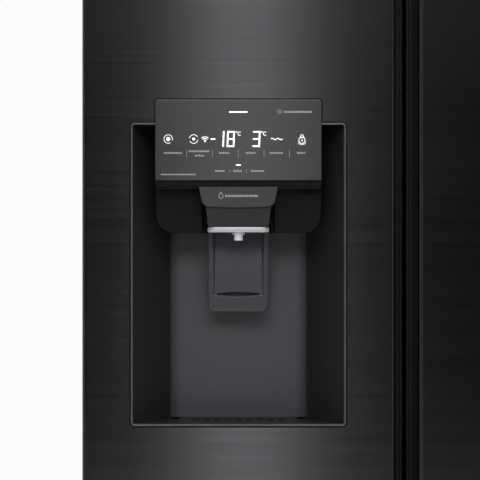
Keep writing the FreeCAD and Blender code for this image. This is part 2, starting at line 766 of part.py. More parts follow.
def add_shelves():
    """Three pairs of glass shelves on rear arms, and the glass cover of the crispers."""
    frames = []
    panes = []
    step = "(fridge_roof - crisper_top) / 4"
    levels = [("cover", "crisper_top + 8")]
    levels += [(f"shelf_{i}", f"crisper_top + 8 + {i} * {step}") for i in (1, 2, 3)]
    sides = (("left", "-fridge_half + liner_wall + 3", "-3"),
             ("right", "3", "fridge_half - liner_wall - 3"))
    for level, z in levels:
        for side, x0, x1 in sides:
            name = f"{level}_{side}"
            rim = box(name + "_rim", (x0, x1), ("shelf_y", "shelf_rear"),
                      (z, f"{z} + shelf_height"))
            hole = box(name + "_hole", (f"{x0} + shelf_rim", f"{x1} - shelf_rim"),
                       ("shelf_y + shelf_rim", "shelf_rear - shelf_rim"),
                       (f"{z} - 1", f"{z} + shelf_height + 1"))
            seat = box(name + "_seat", (f"{x0} + shelf_rim / 2", f"{x1} - shelf_rim / 2"),
                       ("shelf_y + shelf_rim / 2", "shelf_rear - shelf_rim / 2"),
                       (f"{z} + shelf_height - glass", f"{z} + shelf_height + 1"))
            arm_x = "-fridge_half + liner_wall + 3" if side == "left" else "duct_half + 12"
            other = "-duct_half - 24" if side == "left" else "fridge_half - liner_wall - 15"
            arms = [box(f"{name}_arm_{i}", (x, f"{x} + 12"),
                        ("shelf_rear - 2", "fridge_rear - liner_wall"),
                        (f"{z} - 14", f"{z} + shelf_height - glass"))
                    for i, x in enumerate((arm_x, other))]
            frames.append(cut(name, fuse(name + "_frame", [rim] + arms), [hole, seat]))
            panes.append(box(name + "_pane", (f"{x0} + shelf_rim / 2", f"{x1} - shelf_rim / 2"),
                             ("shelf_y + shelf_rim / 2", "shelf_rear - shelf_rim / 2"),
                             (f"{z} + shelf_height - glass", f"{z} + shelf_height")))
    node("shelf_frames", group("shelf_frames", frames))
    node("shelf_glass", group("shelf_glass", panes))


def add_crispers():
    for side, x in (("left", ("-fridge_half + liner_wall + 6", "-8")),
                    ("right", ("8", "fridge_half - liner_wall - 6"))):
        y = ("shelf_y", "shelf_rear - 5")
        drawer = tray(f"{side}_crisper_tray", x, y, ("crisper_bottom", "crisper_top"),
                      "crisper_wall")
        grip = box(f"{side}_crisper_grip", (f"{x[0]} + 60", f"{x[1]} - 60"),
                   ("shelf_y - 8", "shelf_y"), ("crisper_top - 34", "crisper_top - 10"))
        node(f"{side}_crisper", fuse(f"{side}_crisper", [drawer, grip]))


def add_drawer_rails():
    """Fixed steel runners on the freezer's side walls, two for each drawer."""
    rails = []
    outer = "freezer_half - liner_wall"
    for row, low in (("lower", "freezer_floor + 45"), ("upper", "rail_top + 45")):
        left = box(f"{row}_rail_left", (f"-({outer})", f"-({outer}) + runner_width"),
                   ("case_front + rail_depth + 4", "step_front - 12"),
                   (low, f"{low} + runner_height"))
        rails += [left, mirror(f"{row}_rail_right", left)]
    node("drawer_rails", group("drawer_rails", rails))


# ---------------------------------------------------------------- doors and drawer fronts

def front_points(kind, outer, inner, plane):
    """Section of a door or drawer front. It runs from its outer edge to its handle edge.

    The skin is the steel, the core all that lies in it, and the handle the grip extrusion.
    A door's foam is the core in three: the block, and the strips before and behind the pocket.
    The points are (along, depth) in the section's plane."""
    steel_end = f"({inner}) - handle_gap"
    pocket = f"({inner}) - handle_gap - pocket_reach"
    lip_back = "door_face + lip_depth"
    mouth = f"{lip_back} + handle_wall"
    floor = f"{mouth} + pocket_mouth"
    sections = {
        "skin": [
            (outer, "liner_face"), (outer, "door_face"), (steel_end, "door_face"),
            (steel_end, lip_back), (f"{steel_end} - steel", lip_back),
            (f"{steel_end} - steel", "skin_inside"), (f"{outer} + steel", "skin_inside"),
            (f"{outer} + steel", "liner_face")],
        "core": [
            (f"{outer} + steel", "skin_inside"), (f"{steel_end} - steel", "skin_inside"),
            (f"{steel_end} - steel", lip_back), (f"{pocket} - handle_wall", lip_back),
            (f"{pocket} - handle_wall", f"{floor} + handle_wall"),
            (f"({inner}) - handle_wall", f"{floor} + handle_wall"),
            (f"({inner}) - handle_wall", "liner_face"), (f"{outer} + steel", "liner_face")],
        "block": [
            (f"{outer} + steel", "skin_inside"), (f"{pocket} - handle_wall", "skin_inside"),
            (f"{pocket} - handle_wall", "liner_face"), (f"{outer} + steel", "liner_face")],
        "front_strip": [
            (f"{pocket} - handle_wall", "skin_inside"), (f"{steel_end} - steel", "skin_inside"),
            (f"{steel_end} - steel", lip_back), (f"{pocket} - handle_wall", lip_back)],
        "back_strip": [
            (f"{pocket} - handle_wall", f"{floor} + handle_wall"),
            (f"({inner}) - handle_wall", f"{floor} + handle_wall"),
            (f"({inner}) - handle_wall", "liner_face"),
            (f"{pocket} - handle_wall", "liner_face")],
        "handle": [
            (f"{steel_end} - steel", lip_back), (f"{steel_end} - steel", mouth),
            (pocket, mouth), (pocket, floor), (inner, floor), (inner, "door_back"),
            (f"({inner}) - handle_wall", "door_back"),
            (f"({inner}) - handle_wall", f"{floor} + handle_wall"),
            (f"{pocket} - handle_wall", f"{floor} + handle_wall"),
            (f"{pocket} - handle_wall", lip_back)],
    }
    points = sections[kind]
    return points if plane == "XY" else [(depth, along) for along, depth in points]


ROUNDS = {
    "skin": {1: "edge_round", 2: "edge_round", 5: "edge_round - steel", 6: "edge_round - steel"},
    "core": {0: "edge_round - steel", 1: "edge_round - steel"},
    "block": {0: "edge_round - steel"},
    "front_strip": {1: "edge_round - steel"},
    "back_strip": {},
    "handle": {},
}


def front_piece(name, kind, plane, outer, inner, span):
    return profile(name, plane, front_points(kind, outer, inner, plane), span, ROUNDS[kind])


LEFT = ("XY", "-door_edge", "-meet_edge")
DOOR_SPAN = ("door_bottom", "door_top")
CORE_SPAN = ("door_bottom + cap_wall", "door_top - cap_wall")


def door_handle(name):
    """Grip extrusion of a left-hand door, with a plug in each end of its pocket."""
    grip = front_piece(name + "_grip", "handle", *LEFT, DOOR_SPAN)
    steel_end = "-meet_edge - handle_gap"
    x = (f"{steel_end} - pocket_reach", f"{steel_end} - steel")
    mouth = "door_face + lip_depth + handle_wall"
    plugs = [box(f"{name}_plug_{i}", x, (mouth, f"{mouth} + pocket_mouth"), z)
             for i, z in enumerate((("door_bottom", "door_bottom + handle_plug"),
                                    ("door_top - handle_plug", "door_top")))]
    return fuse(name, [grip] + plugs)


def pin_holes(name):
    """Bores for the two hinge pins in the ends of a left-hand door."""
    radius = "pin_radius + pin_play"
    depth = "pin_length + 1"
    return [rod(f"{name}_low_bore", "z", radius, depth, "-hinge_x", "hinge_y", "door_bottom"),
            rod(f"{name}_high_bore", "z", radius, depth, "-hinge_x", "hinge_y",
                "door_top - pin_length - 1")]


def door_foam(name, holes, bulge=None):
    """Foamed filling of a left-hand door: the block, cut by holes, and the pocket's strips."""
    block = front_piece(name + "_block", "block", *LEFT, CORE_SPAN)
    if bulge:
        block = fuse(name + "_filled", [block, bulge])
    strips = [front_piece(f"{name}_{kind}", kind, *LEFT, CORE_SPAN)
              for kind in ("front_strip", "back_strip")]
    return group(name, [cut(name + "_cut", block, holes)] + strips)


def door_liner_blank(name):
    """Plastic inner panel of a left-hand door with end caps and the raised frame for bins."""
    back = box(name + "_back", ("-door_edge", "-meet_edge - handle_wall"),
               ("liner_face", "door_back"), DOOR_SPAN)
    low_cap = front_piece(name + "_low_cap", "core", *LEFT,
                          ("door_bottom", "door_bottom + cap_wall"))
    high_cap = front_piece(name + "_high_cap", "core", *LEFT, ("door_top - cap_wall", "door_top"))
    dike = ring(name + "_dike", ("dike_left", "dike_right"), ("door_back", "dike_rear"),
                ("dike_bottom", "dike_top"), "dike_wall")
    return [back, low_cap, high_cap, dike]


def door_gasket(name):
    return ring(name, ("-door_edge + gasket_side_inset", "-meet_edge - gasket_width"),
                ("door_back", "door_back + gasket_depth"),
                ("door_bottom + gasket_edge_inset", "door_top - gasket_edge_inset"),
                "gasket_width")


def door_bin(name, z, back="door_back"):
    """A clear bin that hangs between the sides of the raised frame."""
    return tray(name, ("dike_left + dike_wall", "dike_right - dike_wall"),
                (back, "door_back + bin_reach"), (z, f"{z} + bin_height"), "bin_wall")


def add_right_door():
    blank = front_piece("right_skin_blank", "skin", *LEFT, DOOR_SPAN)
    node("right_door_skin", mirror("right_door_skin", blank))
    core = door_foam("right_foam", pin_holes("right_core"))
    node("right_door_core", mirror("right_door_core", core))
    liner = cut("right_liner_blank", fuse("right_liner_body", door_liner_blank("right_liner")),
                pin_holes("right_liner"))
    node("right_door_liner", mirror("right_door_liner", liner))
    node("right_door_handle", mirror("right_door_handle", door_handle("right_handle_blank")))
    node("right_door_gasket", mirror("right_door_gasket", door_gasket("right_gasket_blank")))
    step = "(dike_top - dike_bottom - 2 * dike_wall - bin_height - 60) / 3"
    bins = [door_bin(f"right_bin_{i}", f"dike_bottom + dike_wall + 4 + {i} * {step}")
            for i in range(4)]
    node("right_door_bins", mirror("right_door_bins", group("right_bins_blank", bins)))


def add_left_door():
    skin = front_piece("left_skin_blank", "skin", *LEFT, DOOR_SPAN)
    node("left_door_skin", cut("left_door_skin", skin, dispenser_opening("skin")))
    inside = ("ice_left + bulge_wall", "ice_right - bulge_wall")
    height = ("bulge_bottom + bulge_wall", "ice_bottom - bulge_wall")
    bulge = box("dispenser_bulge", inside, ("liner_face", "bulge_rear"), height)
    holes = dispenser_opening("core") + ice_duct("core") + pin_holes("left_core")
    node("left_door_core", door_foam("left_foam", holes, bulge))
    shell = box("bulge_shell", ("ice_left", "ice_right"), ("liner_face", "bulge_rear + bulge_wall"),
                ("bulge_bottom", "ice_bottom"))
    room = box("bulge_room", inside, ("liner_face - 1", "bulge_rear"), height)
    body = fuse("left_liner_body", door_liner_blank("left_liner") + [shell] + flap_ears())
    holes = pin_holes("left_liner") + ice_duct("liner") + [room, flap_ear_bore()]
    node("left_door_liner", cut("left_door_liner", body, holes))
    node("left_door_handle", door_handle("left_door_handle"))
    node("left_door_gasket", door_gasket("left_door_gasket"))
    bins = [door_bin("left_bin_low", "dike_bottom + dike_wall + 4", "door_back"),
            door_bin("left_bin_high", "bulge_bottom + 214", "bulge_rear + bulge_wall")]
    node("left_door_bins", group("left_door_bins", bins))


def flap_ears():
    """Lugs on the left door's inner panel that carry the folding flap's pins."""
    x = ("flap_x - 9", "flap_x + 9")
    y = ("door_back", "flap_y + 6")
    return [box("flap_ear_low", x, y, ("dike_bottom", "dike_bottom + 6")),
            box("flap_ear_high", x, y, ("dike_top - 6", "dike_top"))]


def flap_ear_bore():
    return rod("flap_ear_hole", "z", "flap_pin + pin_play", "dike_top - dike_bottom + 2",
               "flap_x", "flap_y", "dike_bottom - 1")


def add_flap():
    """Folding flap that closes the gap between the doors, folded back on its pins."""
    z = ("dike_bottom + 6 + 1", "dike_top - 6 - 1")
    bar = box("flap_bar", ("flap_x - flap_thickness / 2", "flap_x + flap_thickness / 2"),
              ("flap_y + 2", "flap_y + 2 + flap_width"), z)
    lugs = [box("flap_lug_low", ("flap_x - 5", "flap_x + 5"), ("flap_y - 4", "flap_y + 6"),
                (z[0], f"{z[0]} + 24")),
            box("flap_lug_high", ("flap_x - 5", "flap_x + 5"), ("flap_y - 4", "flap_y + 6"),
                (f"{z[1]} - 24", z[1]))]
    pins = [rod("flap_pin_low", "z", "flap_pin", "8", "flap_x", "flap_y", f"{z[0]} - 6"),
            rod("flap_pin_high", "z", "flap_pin", "8", "flap_x", "flap_y", f"{z[1]} - 2")]
    node("mullion_flap", fuse("mullion_flap", [bar] + lugs + pins))


def add_drawer(row, bottom, top, basket_floor, basket_rear, rail_low):
    """A freezer drawer: steel front, foamed panel with the grip, gasket and basket."""
    x = ("-door_edge", "door_edge")
    inside = ("-door_edge + cap_wall", "door_edge - cap_wall")
    skin = front_piece(f"{row}_front_skin", "skin", "YZ", bottom, top, x)
    node(f"{row}_front_skin", skin)
    core = front_piece(f"{row}_core_body", "core", "YZ", bottom, top, inside)
    handle = front_piece(f"{row}_handle_body", "handle", "YZ", bottom, top, x)
    grip_z = (f"{top} - handle_gap - pocket_reach", f"{top} - handle_gap - steel")
    mouth = "door_face + lip_depth + handle_wall"
    plugs = [box(f"{row}_plug_{i}", span, (mouth, f"{mouth} + pocket_mouth"), grip_z)
             for i, span in enumerate(((x[0], f"{x[0]} + handle_plug"),
                                       (f"{x[1]} - handle_plug", x[1])))]
    caps = [front_piece(f"{row}_cap_{i}", "core", "YZ", bottom, top, span)
            for i, span in enumerate(((x[0], inside[0]), (inside[1], x[1])))]
    panel = box(f"{row}_inner_panel", x, ("liner_face", "door_back"),
                (bottom, f"{top} - handle_wall"))
    node(f"{row}_front_panel", fuse(f"{row}_front_panel", [core, panel, handle] + caps + plugs))
    node(f"{row}_gasket", ring(
        f"{row}_gasket", ("-door_edge + gasket_side_inset", "door_edge - gasket_side_inset"),
        ("door_back", "door_back + gasket_depth"),
        (f"{bottom} + gasket_edge_inset", f"{top} - gasket_edge_inset"), "gasket_width"))
    basket = tray(f"{row}_basket_tray", ("-basket_half", "basket_half"),
                  ("door_back", basket_rear), (basket_floor, f"{top} - 62"), "basket_wall")
    reach = "freezer_half - liner_wall - runner_width - runner_gap"
    left = box(f"{row}_runner_left", (f"-({reach})", "-basket_half"),
               ("door_back", f"{basket_rear} - 6"), (rail_low, f"{rail_low} + runner_height"))
    node(f"{row}_basket", fuse(f"{row}_basket",
                               [basket, left, mirror(f"{row}_runner_right", left)]))


# ---------------------------------------------------------------- dispenser

def around_tap(*halves):
    """A pair of rules that lie each side of the dispenser's middle."""
    return f"tap_x - ({halves[0]})", f"tap_x + ({halves[0]})"


def well_shape(name, inset, z):
    """Prism of the recess: wide at the front and narrower at the back."""
    x0, x1 = around_tap(f"trim_half - {inset}")
    b0, b1 = around_tap(f"well_back_half + well_wall - {inset}")
    front_y = "well_front" if inset == "0" else "well_front - 1"
    back_y = f"well_back + well_wall - {inset}"
    rounds = {2: "well_round", 3: "well_round"}
    return profile(name, "XY", [(x0, front_y), (x1, front_y), (b1, back_y), (b0, back_y)], z,
                   rounds)


def display_room(name):
    return box(name, around_tap("display_half"), ("front - 1", "display_rear"),
               ("display_bottom", "display_top"))


def dispenser_opening(name):
    """What the left door gives up for the trim, the recess and the display, with a fine gap."""
    frame = profile(f"{name}_trim_room", "XZ",
                    rect("trim_half + trim_gap", "trim_bottom - trim_gap", "trim_top + trim_gap"),
                    ("front - 1", "well_front"), {i: "trim_round + trim_gap" for i in range(4)})
    screen = profile(f"{name}_screen_room", "XZ",
                     rect("display_half + trim_gap", "display_bottom", "display_top + trim_gap"),
                     ("front - 1", "display_rear"), {i: "display_round + trim_gap" for i in (2, 3)})
    return [frame, well_shape(f"{name}_well_room", "0", ("trim_bottom", "trim_top")), screen]


def ice_duct(name):
    """Passage for ice from the ice room forward and down into the chute."""
    x = around_tap("chute_half - chute_wall")
    fall = box(f"{name}_duct_fall", x, ("display_rear + 4", "chute_rear - chute_wall"),
               ("trim_top - 6", "ice_bottom + 60"))
    feed = box(f"{name}_duct_feed", x, ("display_rear + 4", "door_back + ice_room_wall + 1"),
               ("ice_bottom + 14", "ice_bottom + 60"))
    return [fall, feed]


def rect(half, low, high):
    """Corners of an upright rectangle about the dispenser's middle."""
    x0, x1 = around_tap(half)
    return [(x0, low), (x1, low), (x1, high), (x0, high)]


def add_dispenser():
    corner = {i: "trim_round" for i in range(4)}
    inner_corner = {i: "trim_round - trim_wall" for i in range(4)}
    outer = profile("trim_outer", "XZ", rect("trim_half", "trim_bottom", "trim_top"),
                    ("front", "well_front"), corner)
    inner = profile("trim_inner", "XZ",
                    rect("trim_half - trim_wall", "trim_bottom + trim_wall", "trim_top - trim_wall"),
                    ("front - 1", "well_front + 1"), inner_corner)
    node("dispenser_trim", cut("dispenser_trim", outer, [inner, display_room("trim_display_room")]))
    shell = well_shape("well_outer", "0", ("trim_bottom", "trim_top"))
    hollow = well_shape("well_inner", "well_wall",
                        ("trim_bottom + well_floor", "trim_top - trim_wall"))
    node("dispenser_recess", cut("dispenser_recess", shell, [hollow, display_room("well_display_room")]
                                 + ice_duct("well")))
    node("display_panel", profile("display_panel", "XZ",
                                  rect("display_half", "display_bottom", "display_top"),
                                  ("front", "display_rear"),
                                  {2: "display_round", 3: "display_round"}))
    add_hood()
    add_chute()
    add_lever()
    y = ("well_front - 1", "well_back - 11")
    z = "trim_bottom + well_floor + 0.3"
    plate = box("grille_plate", around_tap("grille_half"), y, (z, f"{z} + grille_height"))
    slots = [box(f"grille_slot_{i}", (f"tap_x + {14 * i - 4}", f"tap_x + {14 * i + 4}"),
                 (f"{y[0]} + 9", f"{y[1]} - 9"), (f"{z} - 1", f"{z} + grille_height + 1"))
             for i in range(-4, 5)]
    node("drip_grille", cut("drip_grille", plate, slots))


def add_hood():
    """Housing under the display that carries the chute and the lever."""
    face = profile("hood_face_block", "XZ", rect("display_half", "hood_bottom", "hood_top"),
                   ("hood_face", "hood_rear"), {0: "hood_round", 1: "hood_round"})
    band = box("hood_band", around_tap("display_half"), ("front + 3", "hood_rear"),
               ("hood_top", "display_bottom"))
    upper = box("hood_upper", around_tap("display_half"), ("display_rear", "hood_rear"),
                ("display_bottom", "trim_top - trim_wall"))
    rear = box("hood_rear_block", around_tap("well_back_half - 14"), ("hood_rear", "well_back"),
               ("hood_bottom", "trim_top - trim_wall"))
    chute_room = box("hood_chute_room", around_tap("chute_top_half + 1"),
                     ("hood_face - 1", "chute_rear + 0.5"), ("hood_bottom - 1", "hood_top"))
    shaft = box("hood_chute_shaft", around_tap("chute_half + 0.5"),
                ("display_rear + 0.5", "chute_rear + 0.5"), ("hood_top - 1", "trim_top"))
    lever_room = box("hood_lever_room", around_tap("lever_half + 2"),
                     ("chute_rear", "lever_y + 26"), ("hood_bottom - 1", "pivot_z + 14"))
    bore = rod("hood_lever_bore", "x", "lever_pin + pin_play", "2 * lever_half + 20",
               "tap_x - lever_half - 10", "lever_y", "pivot_z")
    node("dispenser_hood", cut("dispenser_hood", fuse("hood_blank", [face, band, upper, rear]),
                               [chute_room, shaft, lever_room, bore]))


def add_chute():
    """Ice chute with its front tab, the silver ring round its mouth and the water nozzle."""
    x0, x1 = around_tap("chute_half")
    t0, t1 = around_tap("chute_top_half")
    funnel = profile("chute_funnel", "XZ",
                     [(x0, "ring_top"), (x1, "ring_top"), (t1, "hood_top"), (t0, "hood_top")],
                     ("chute_face", "chute_rear"))
    tower = box("chute_tower", around_tap("chute_half"), ("display_rear + 1", "chute_rear"),
                ("hood_top - 1", "trim_top - trim_wall"))
    f0, f1 = around_tap("tab_foot_half")
    u0, u1 = around_tap("tab_half")
    tab = profile("chute_tab", "XZ",
                  [(f0, "tab_bottom"), (f1, "tab_bottom"), (u1, "hood_top"), (u0, "hood_top")],
                  ("chute_face - 2.5", "chute_face"), {0: "8", 1: "8"})
    x = around_tap("chute_half - chute_wall")
    low_hollow = box("chute_low_hollow", x, ("chute_face + chute_wall", "chute_rear - chute_wall"),
                     ("ring_top - 1", "hood_top - chute_wall"))
    high_hollow = box("chute_high_hollow", x,
                      ("display_rear + 1 + chute_wall", "chute_rear - chute_wall"),
                      ("hood_top - 10", "trim_top"))
    node("ice_chute", cut("ice_chute", fuse("chute_blank", [funnel, tower, tab]),
                          [low_hollow, high_hollow]))
    corner = {i: "ring_round" for i in range(4)}
    r0, r1 = around_tap("ring_half")
    y0, y1 = "chute_face - 1", "chute_rear"
    ring_outer = profile("ring_outer", "XY", [(r0, y0), (r1, y0), (r1, y1), (r0, y1)],
                         ("ring_bottom", "ring_top"), corner)
    ring_hole = box("ring_hole", x, ("chute_face + chute_wall", "chute_rear - chute_wall"),
                    ("ring_bottom - 1", "ring_top + 1"))
    node("chute_ring", cut("chute_ring", ring_outer, [ring_hole]))
    nozzle = turned("nozzle_body", [
        ("nozzle_bore", "0"), ("nozzle_radius", "0"), ("nozzle_radius", "nozzle_drop - 3.2"),
        ("nozzle_collar", "nozzle_drop - 3.2"), ("nozzle_collar", "nozzle_drop"),
        ("nozzle_radius", "nozzle_drop"), ("nozzle_radius", "nozzle_drop + 50"),
        ("nozzle_bore", "nozzle_drop + 50")])
    node("water_nozzle", place(nozzle, "tap_x", "nozzle_y", "ring_bottom - nozzle_drop"))


def add_lever():
    """Paddle pushed by a glass: dished front, side flanges and a cross shaft in the hood."""
    half = "lever_thickness / 2"
    blank = profile("lever_paddle", "XZ", rect("lever_half", "lever_foot", "lever_top"),
                    (f"lever_y - {half}", f"lever_y + {half}"), {0: "lever_round", 1: "lever_round"})
    dish = profile("lever_dish", "XZ",
                   rect("lever_half - 7.5", "lever_foot + 21", "lever_top - 3"),
                   (f"lever_y - {half} - 1", f"lever_y - {half} + 5"),
                   {i: "6" for i in range(4)})
    neck = box("lever_neck", around_tap("lever_half - 8"), (f"lever_y - {half}", f"lever_y + {half}"),
               ("lever_top - 1", "pivot_z"))
    hub = rod("lever_hub", "x", half, "2 * (lever_half - 1)", "tap_x - lever_half + 1", "lever_y",
              "pivot_z")
    pin = rod("lever_shaft", "x", "lever_pin", "2 * (lever_half + 8)", "tap_x - lever_half - 8",
              "lever_y", "pivot_z")
    node("dispenser_lever", fuse("dispenser_lever",
                                 [cut("lever_dished", blank, [dish]), neck, hub, pin]))


def add_ice_room():
    """Insulated ice room on the left door with its cover, ice maker and bin."""
    x = ("ice_left", "ice_right")
    y = ("door_back", "ice_rear")
    z = ("ice_bottom", "dike_top - dike_wall")
    wall = "ice_room_wall"
    outer = box("ice_room_outer", x, y, z)
    inner = box("ice_room_inner", (f"{x[0]} + {wall}", f"{x[1]} - {wall}"),
                (f"{y[0]} + {wall}", f"{y[1]} + 1"), (f"{z[0]} + {wall}", f"{z[1]} - {wall}"))
    node("ice_room", cut("ice_room", outer, [inner] + ice_duct("room")))
    node("ice_room_cover", box("ice_room_cover", x, ("ice_rear", "ice_rear + 8"), z))
    inside = (f"{x[0]} + {wall} + 3", f"{x[1]} - {wall} - 3")
    depth = (f"{y[0]} + {wall} + 2", f"{y[1]} - 4")
    maker = box("ice_maker_body", inside, depth, (f"{z[1]} - {wall} - 80", f"{z[1]} - {wall}"))
    cells = [box(f"ice_cell_{i}", (f"{inside[0]} + {20 + 28 * i}", f"{inside[0]} + {42 + 28 * i}"),
                 (f"{depth[0]} + 20", f"{depth[1]} - 20"),
                 (f"{z[1]} - {wall} - 30", f"{z[1]} - {wall} + 1")) for i in range(7)]
    node("ice_maker", cut("ice_maker", maker, cells))
    ice_bin = tray("ice_bin_tray", inside, depth,
                   (f"{z[0]} + {wall}", f"{z[1]} - {wall} - 95"), "3")
    outlet = box("ice_bin_outlet", around_tap("chute_half - chute_wall"),
                 (f"{depth[0]} - 1", f"{depth[0]} + 4"), ("ice_bottom + 14", "ice_bottom + 60"))
    node("ice_bin", cut("ice_bin", ice_bin, [outlet]))


# ---------------------------------------------------------------- build and write

def check_document():
    """Stops if any object failed or any sub-part is not a sound solid."""
    doc.recompute()
    for obj in doc.Objects:
        if "Invalid" in obj.State or "Error" in obj.State:
            raise RuntimeError(f"{obj.Label} failed: {obj.State}")
    for obj in NODES:
        shape = obj.Shape
        if shape.isNull() or not shape.isValid() or not shape.Solids:
            raise RuntimeError(f"{obj.Label} is not a sound solid")


add_sizes()
add_shell()
add_insulation()
add_liners()
add_rails()
add_hinges()
add_hinge_covers()
add_base()
add_feet()
add_machinery()
add_air_system()
add_shelves()
add_crispers()
add_drawer_rails()
add_left_door()
add_flap()
add_dispenser()
add_ice_room()
add_right_door()
add_drawer("upper", "upper_bottom", "upper_top", "rail_top + 10",
           "freezer_rear - liner_wall - duct_depth - 20", "rail_top + 45")
add_drawer("lower", "front_bottom", "lower_top", "freezer_floor + liner_wall + 15",
           "step_front - liner_wall - 15", "freezer_floor + 45")
check_document()
os.makedirs("parts", exist_ok=True)
for finished in NODES:
    finished.Shape.exportStep(f"parts/{finished.Label}.step")
print(len(NODES), "sub-parts written")
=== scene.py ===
import json
import math

import bmesh
import bpy
from mathutils import Matrix, Vector


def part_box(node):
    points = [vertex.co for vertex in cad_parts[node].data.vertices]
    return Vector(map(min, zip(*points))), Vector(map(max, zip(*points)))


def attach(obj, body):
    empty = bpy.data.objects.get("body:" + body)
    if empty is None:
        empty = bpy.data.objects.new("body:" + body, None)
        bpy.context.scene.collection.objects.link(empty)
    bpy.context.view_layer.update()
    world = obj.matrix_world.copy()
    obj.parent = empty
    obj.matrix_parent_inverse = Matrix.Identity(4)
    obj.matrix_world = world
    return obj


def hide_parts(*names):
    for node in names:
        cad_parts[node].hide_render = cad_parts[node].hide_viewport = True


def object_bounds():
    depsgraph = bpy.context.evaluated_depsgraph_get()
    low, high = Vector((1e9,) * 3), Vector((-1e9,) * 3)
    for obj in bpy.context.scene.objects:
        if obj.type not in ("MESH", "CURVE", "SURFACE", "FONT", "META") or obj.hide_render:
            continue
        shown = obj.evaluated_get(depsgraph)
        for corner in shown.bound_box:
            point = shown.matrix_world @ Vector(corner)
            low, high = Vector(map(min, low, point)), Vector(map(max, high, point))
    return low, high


# Looks of the french door refrigerator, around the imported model. Metres, front facing -Y.

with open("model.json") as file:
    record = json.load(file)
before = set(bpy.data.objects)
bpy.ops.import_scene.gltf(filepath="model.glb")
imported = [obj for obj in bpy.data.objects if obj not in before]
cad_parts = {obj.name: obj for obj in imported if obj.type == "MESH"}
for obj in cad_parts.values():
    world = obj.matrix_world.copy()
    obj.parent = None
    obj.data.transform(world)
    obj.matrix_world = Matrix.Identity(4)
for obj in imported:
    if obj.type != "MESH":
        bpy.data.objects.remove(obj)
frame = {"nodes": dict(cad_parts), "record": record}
cad_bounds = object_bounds()
nodes = frame["nodes"]


# ---------------------------------------------------------------- materials

class Shader:
    """A node material built step by step around one Principled shader."""

    def __init__(self, name, **settings):
        self.material = bpy.data.materials.new(name)
        self.material.use_nodes = True
        self.tree = self.material.node_tree
        self.main = self.tree.nodes["Principled BSDF"]
        self.coords = self.tree.nodes.new("ShaderNodeTexCoord")
        for socket, value in settings.items():
            self.main.inputs[socket.replace("_", " ")].default_value = value

    def add(self, kind, **inputs):
        made = self.tree.nodes.new(kind)
        for socket, value in inputs.items():
            self.link_or_set(value, made.inputs[socket.replace("_", " ")])
        return made

    def link_or_set(self, value, socket):
        if isinstance(value, bpy.types.NodeSocket):
            self.tree.links.new(value, socket)
        else:
            socket.default_value = value

    def stretched(self, scale):
        """Object coordinates scaled along each axis."""
        mapping = self.add("ShaderNodeMapping", Vector=self.coords.outputs["Object"])
        mapping.inputs["Scale"].default_value = scale
        return mapping.outputs["Vector"]

    def noise(self, scale, detail=3.0, rough=0.6, stretch=(1, 1, 1)):
        texture = self.add("ShaderNodeTexNoise", Vector=self.stretched(stretch))
        texture.inputs["Scale"].default_value = scale
        texture.inputs["Detail"].default_value = detail
        texture.inputs["Roughness"].default_value = rough
        return texture.outputs["Fac"]

    def remap(self, value, low, high):
        """Spreads a value of 0 to 1 from low to high."""
        node = self.add("ShaderNodeMapRange", Value=value)
        node.inputs["To Min"].default_value = low
        node.inputs["To Max"].default_value = high
        return node.outputs["Result"]

    def mix(self, factor, first, second):
        node = self.tree.nodes.new("ShaderNodeMix")
        node.data_type = "RGBA"
        first_colour, second_colour, mixed_colour = 6, 7, 2
        self.link_or_set(factor, node.inputs["Factor"])
        self.link_or_set(first, node.inputs[first_colour])
        self.link_or_set(second, node.inputs[second_colour])
        return node.outputs[mixed_colour]

    def bump(self, height, strength, distance=0.0005):
        node = self.add("ShaderNodeBump", Height=height)
        node.inputs["Strength"].default_value = strength
        node.inputs["Distance"].default_value = distance
        self.tree.links.new(node.outputs["Normal"], self.main.inputs["Normal"])

    def drive(self, socket, value):
        self.link_or_set(value, self.main.inputs[socket])


def rgba(red, green=None, blue=None):
    if green is None:
        return (red, red, red, 1.0)
    return (red, green, blue, 1.0)


def tinted(shader, base, spread, fac):
    """Base colour that varies a little with fac."""
    low = tuple(c * (1 - spread) for c in base[:3]) + (1.0,)
    high = tuple(min(1.0, c * (1 + spread)) for c in base[:3]) + (1.0,)
    shader.drive("Base Color", shader.mix(fac, low, high))


def brushed_steel(name, base, rough):
    """Brushed metal: fine scratches that run along X, over broader bands."""
    shader = Shader(name, Metallic=1.0, Roughness=rough)
    along, across, band_share = 3.0, 900.0, 0.22
    stretch = (along, across, across)
    fine = shader.noise(1.0, detail=4.0, rough=0.75, stretch=stretch)
    broad = shader.noise(1.0, detail=2.0, stretch=tuple(s * band_share for s in stretch))
    tinted(shader, base, 0.30, fine)
    shader.drive("Roughness", shader.remap(broad, rough * 0.85, rough * 1.18))
    shader.bump(fine, 0.10, 0.00004)
    return shader.material


def moulded(name, base, rough=0.45, bump=0.12, coat=0.0, gloss=0.5, metal=0.0):
    """Moulded plastic: a fine spark-eroded grain, slight tone changes and a soft sheen."""
    shader = Shader(name, Roughness=rough, Coat_Weight=coat, Specular_IOR_Level=gloss,
                    Metallic=metal)
    grain_scale, tone_scale = 900.0, 7.0
    fine = shader.noise(grain_scale, detail=3.0)
    broad = shader.noise(tone_scale, detail=2.0)
    tinted(shader, base, 0.05, broad)
    shader.drive("Roughness", shader.remap(fine, rough * 0.85, min(1.0, rough * 1.15)))
    shader.bump(fine, bump, 0.00012)
    return shader.material


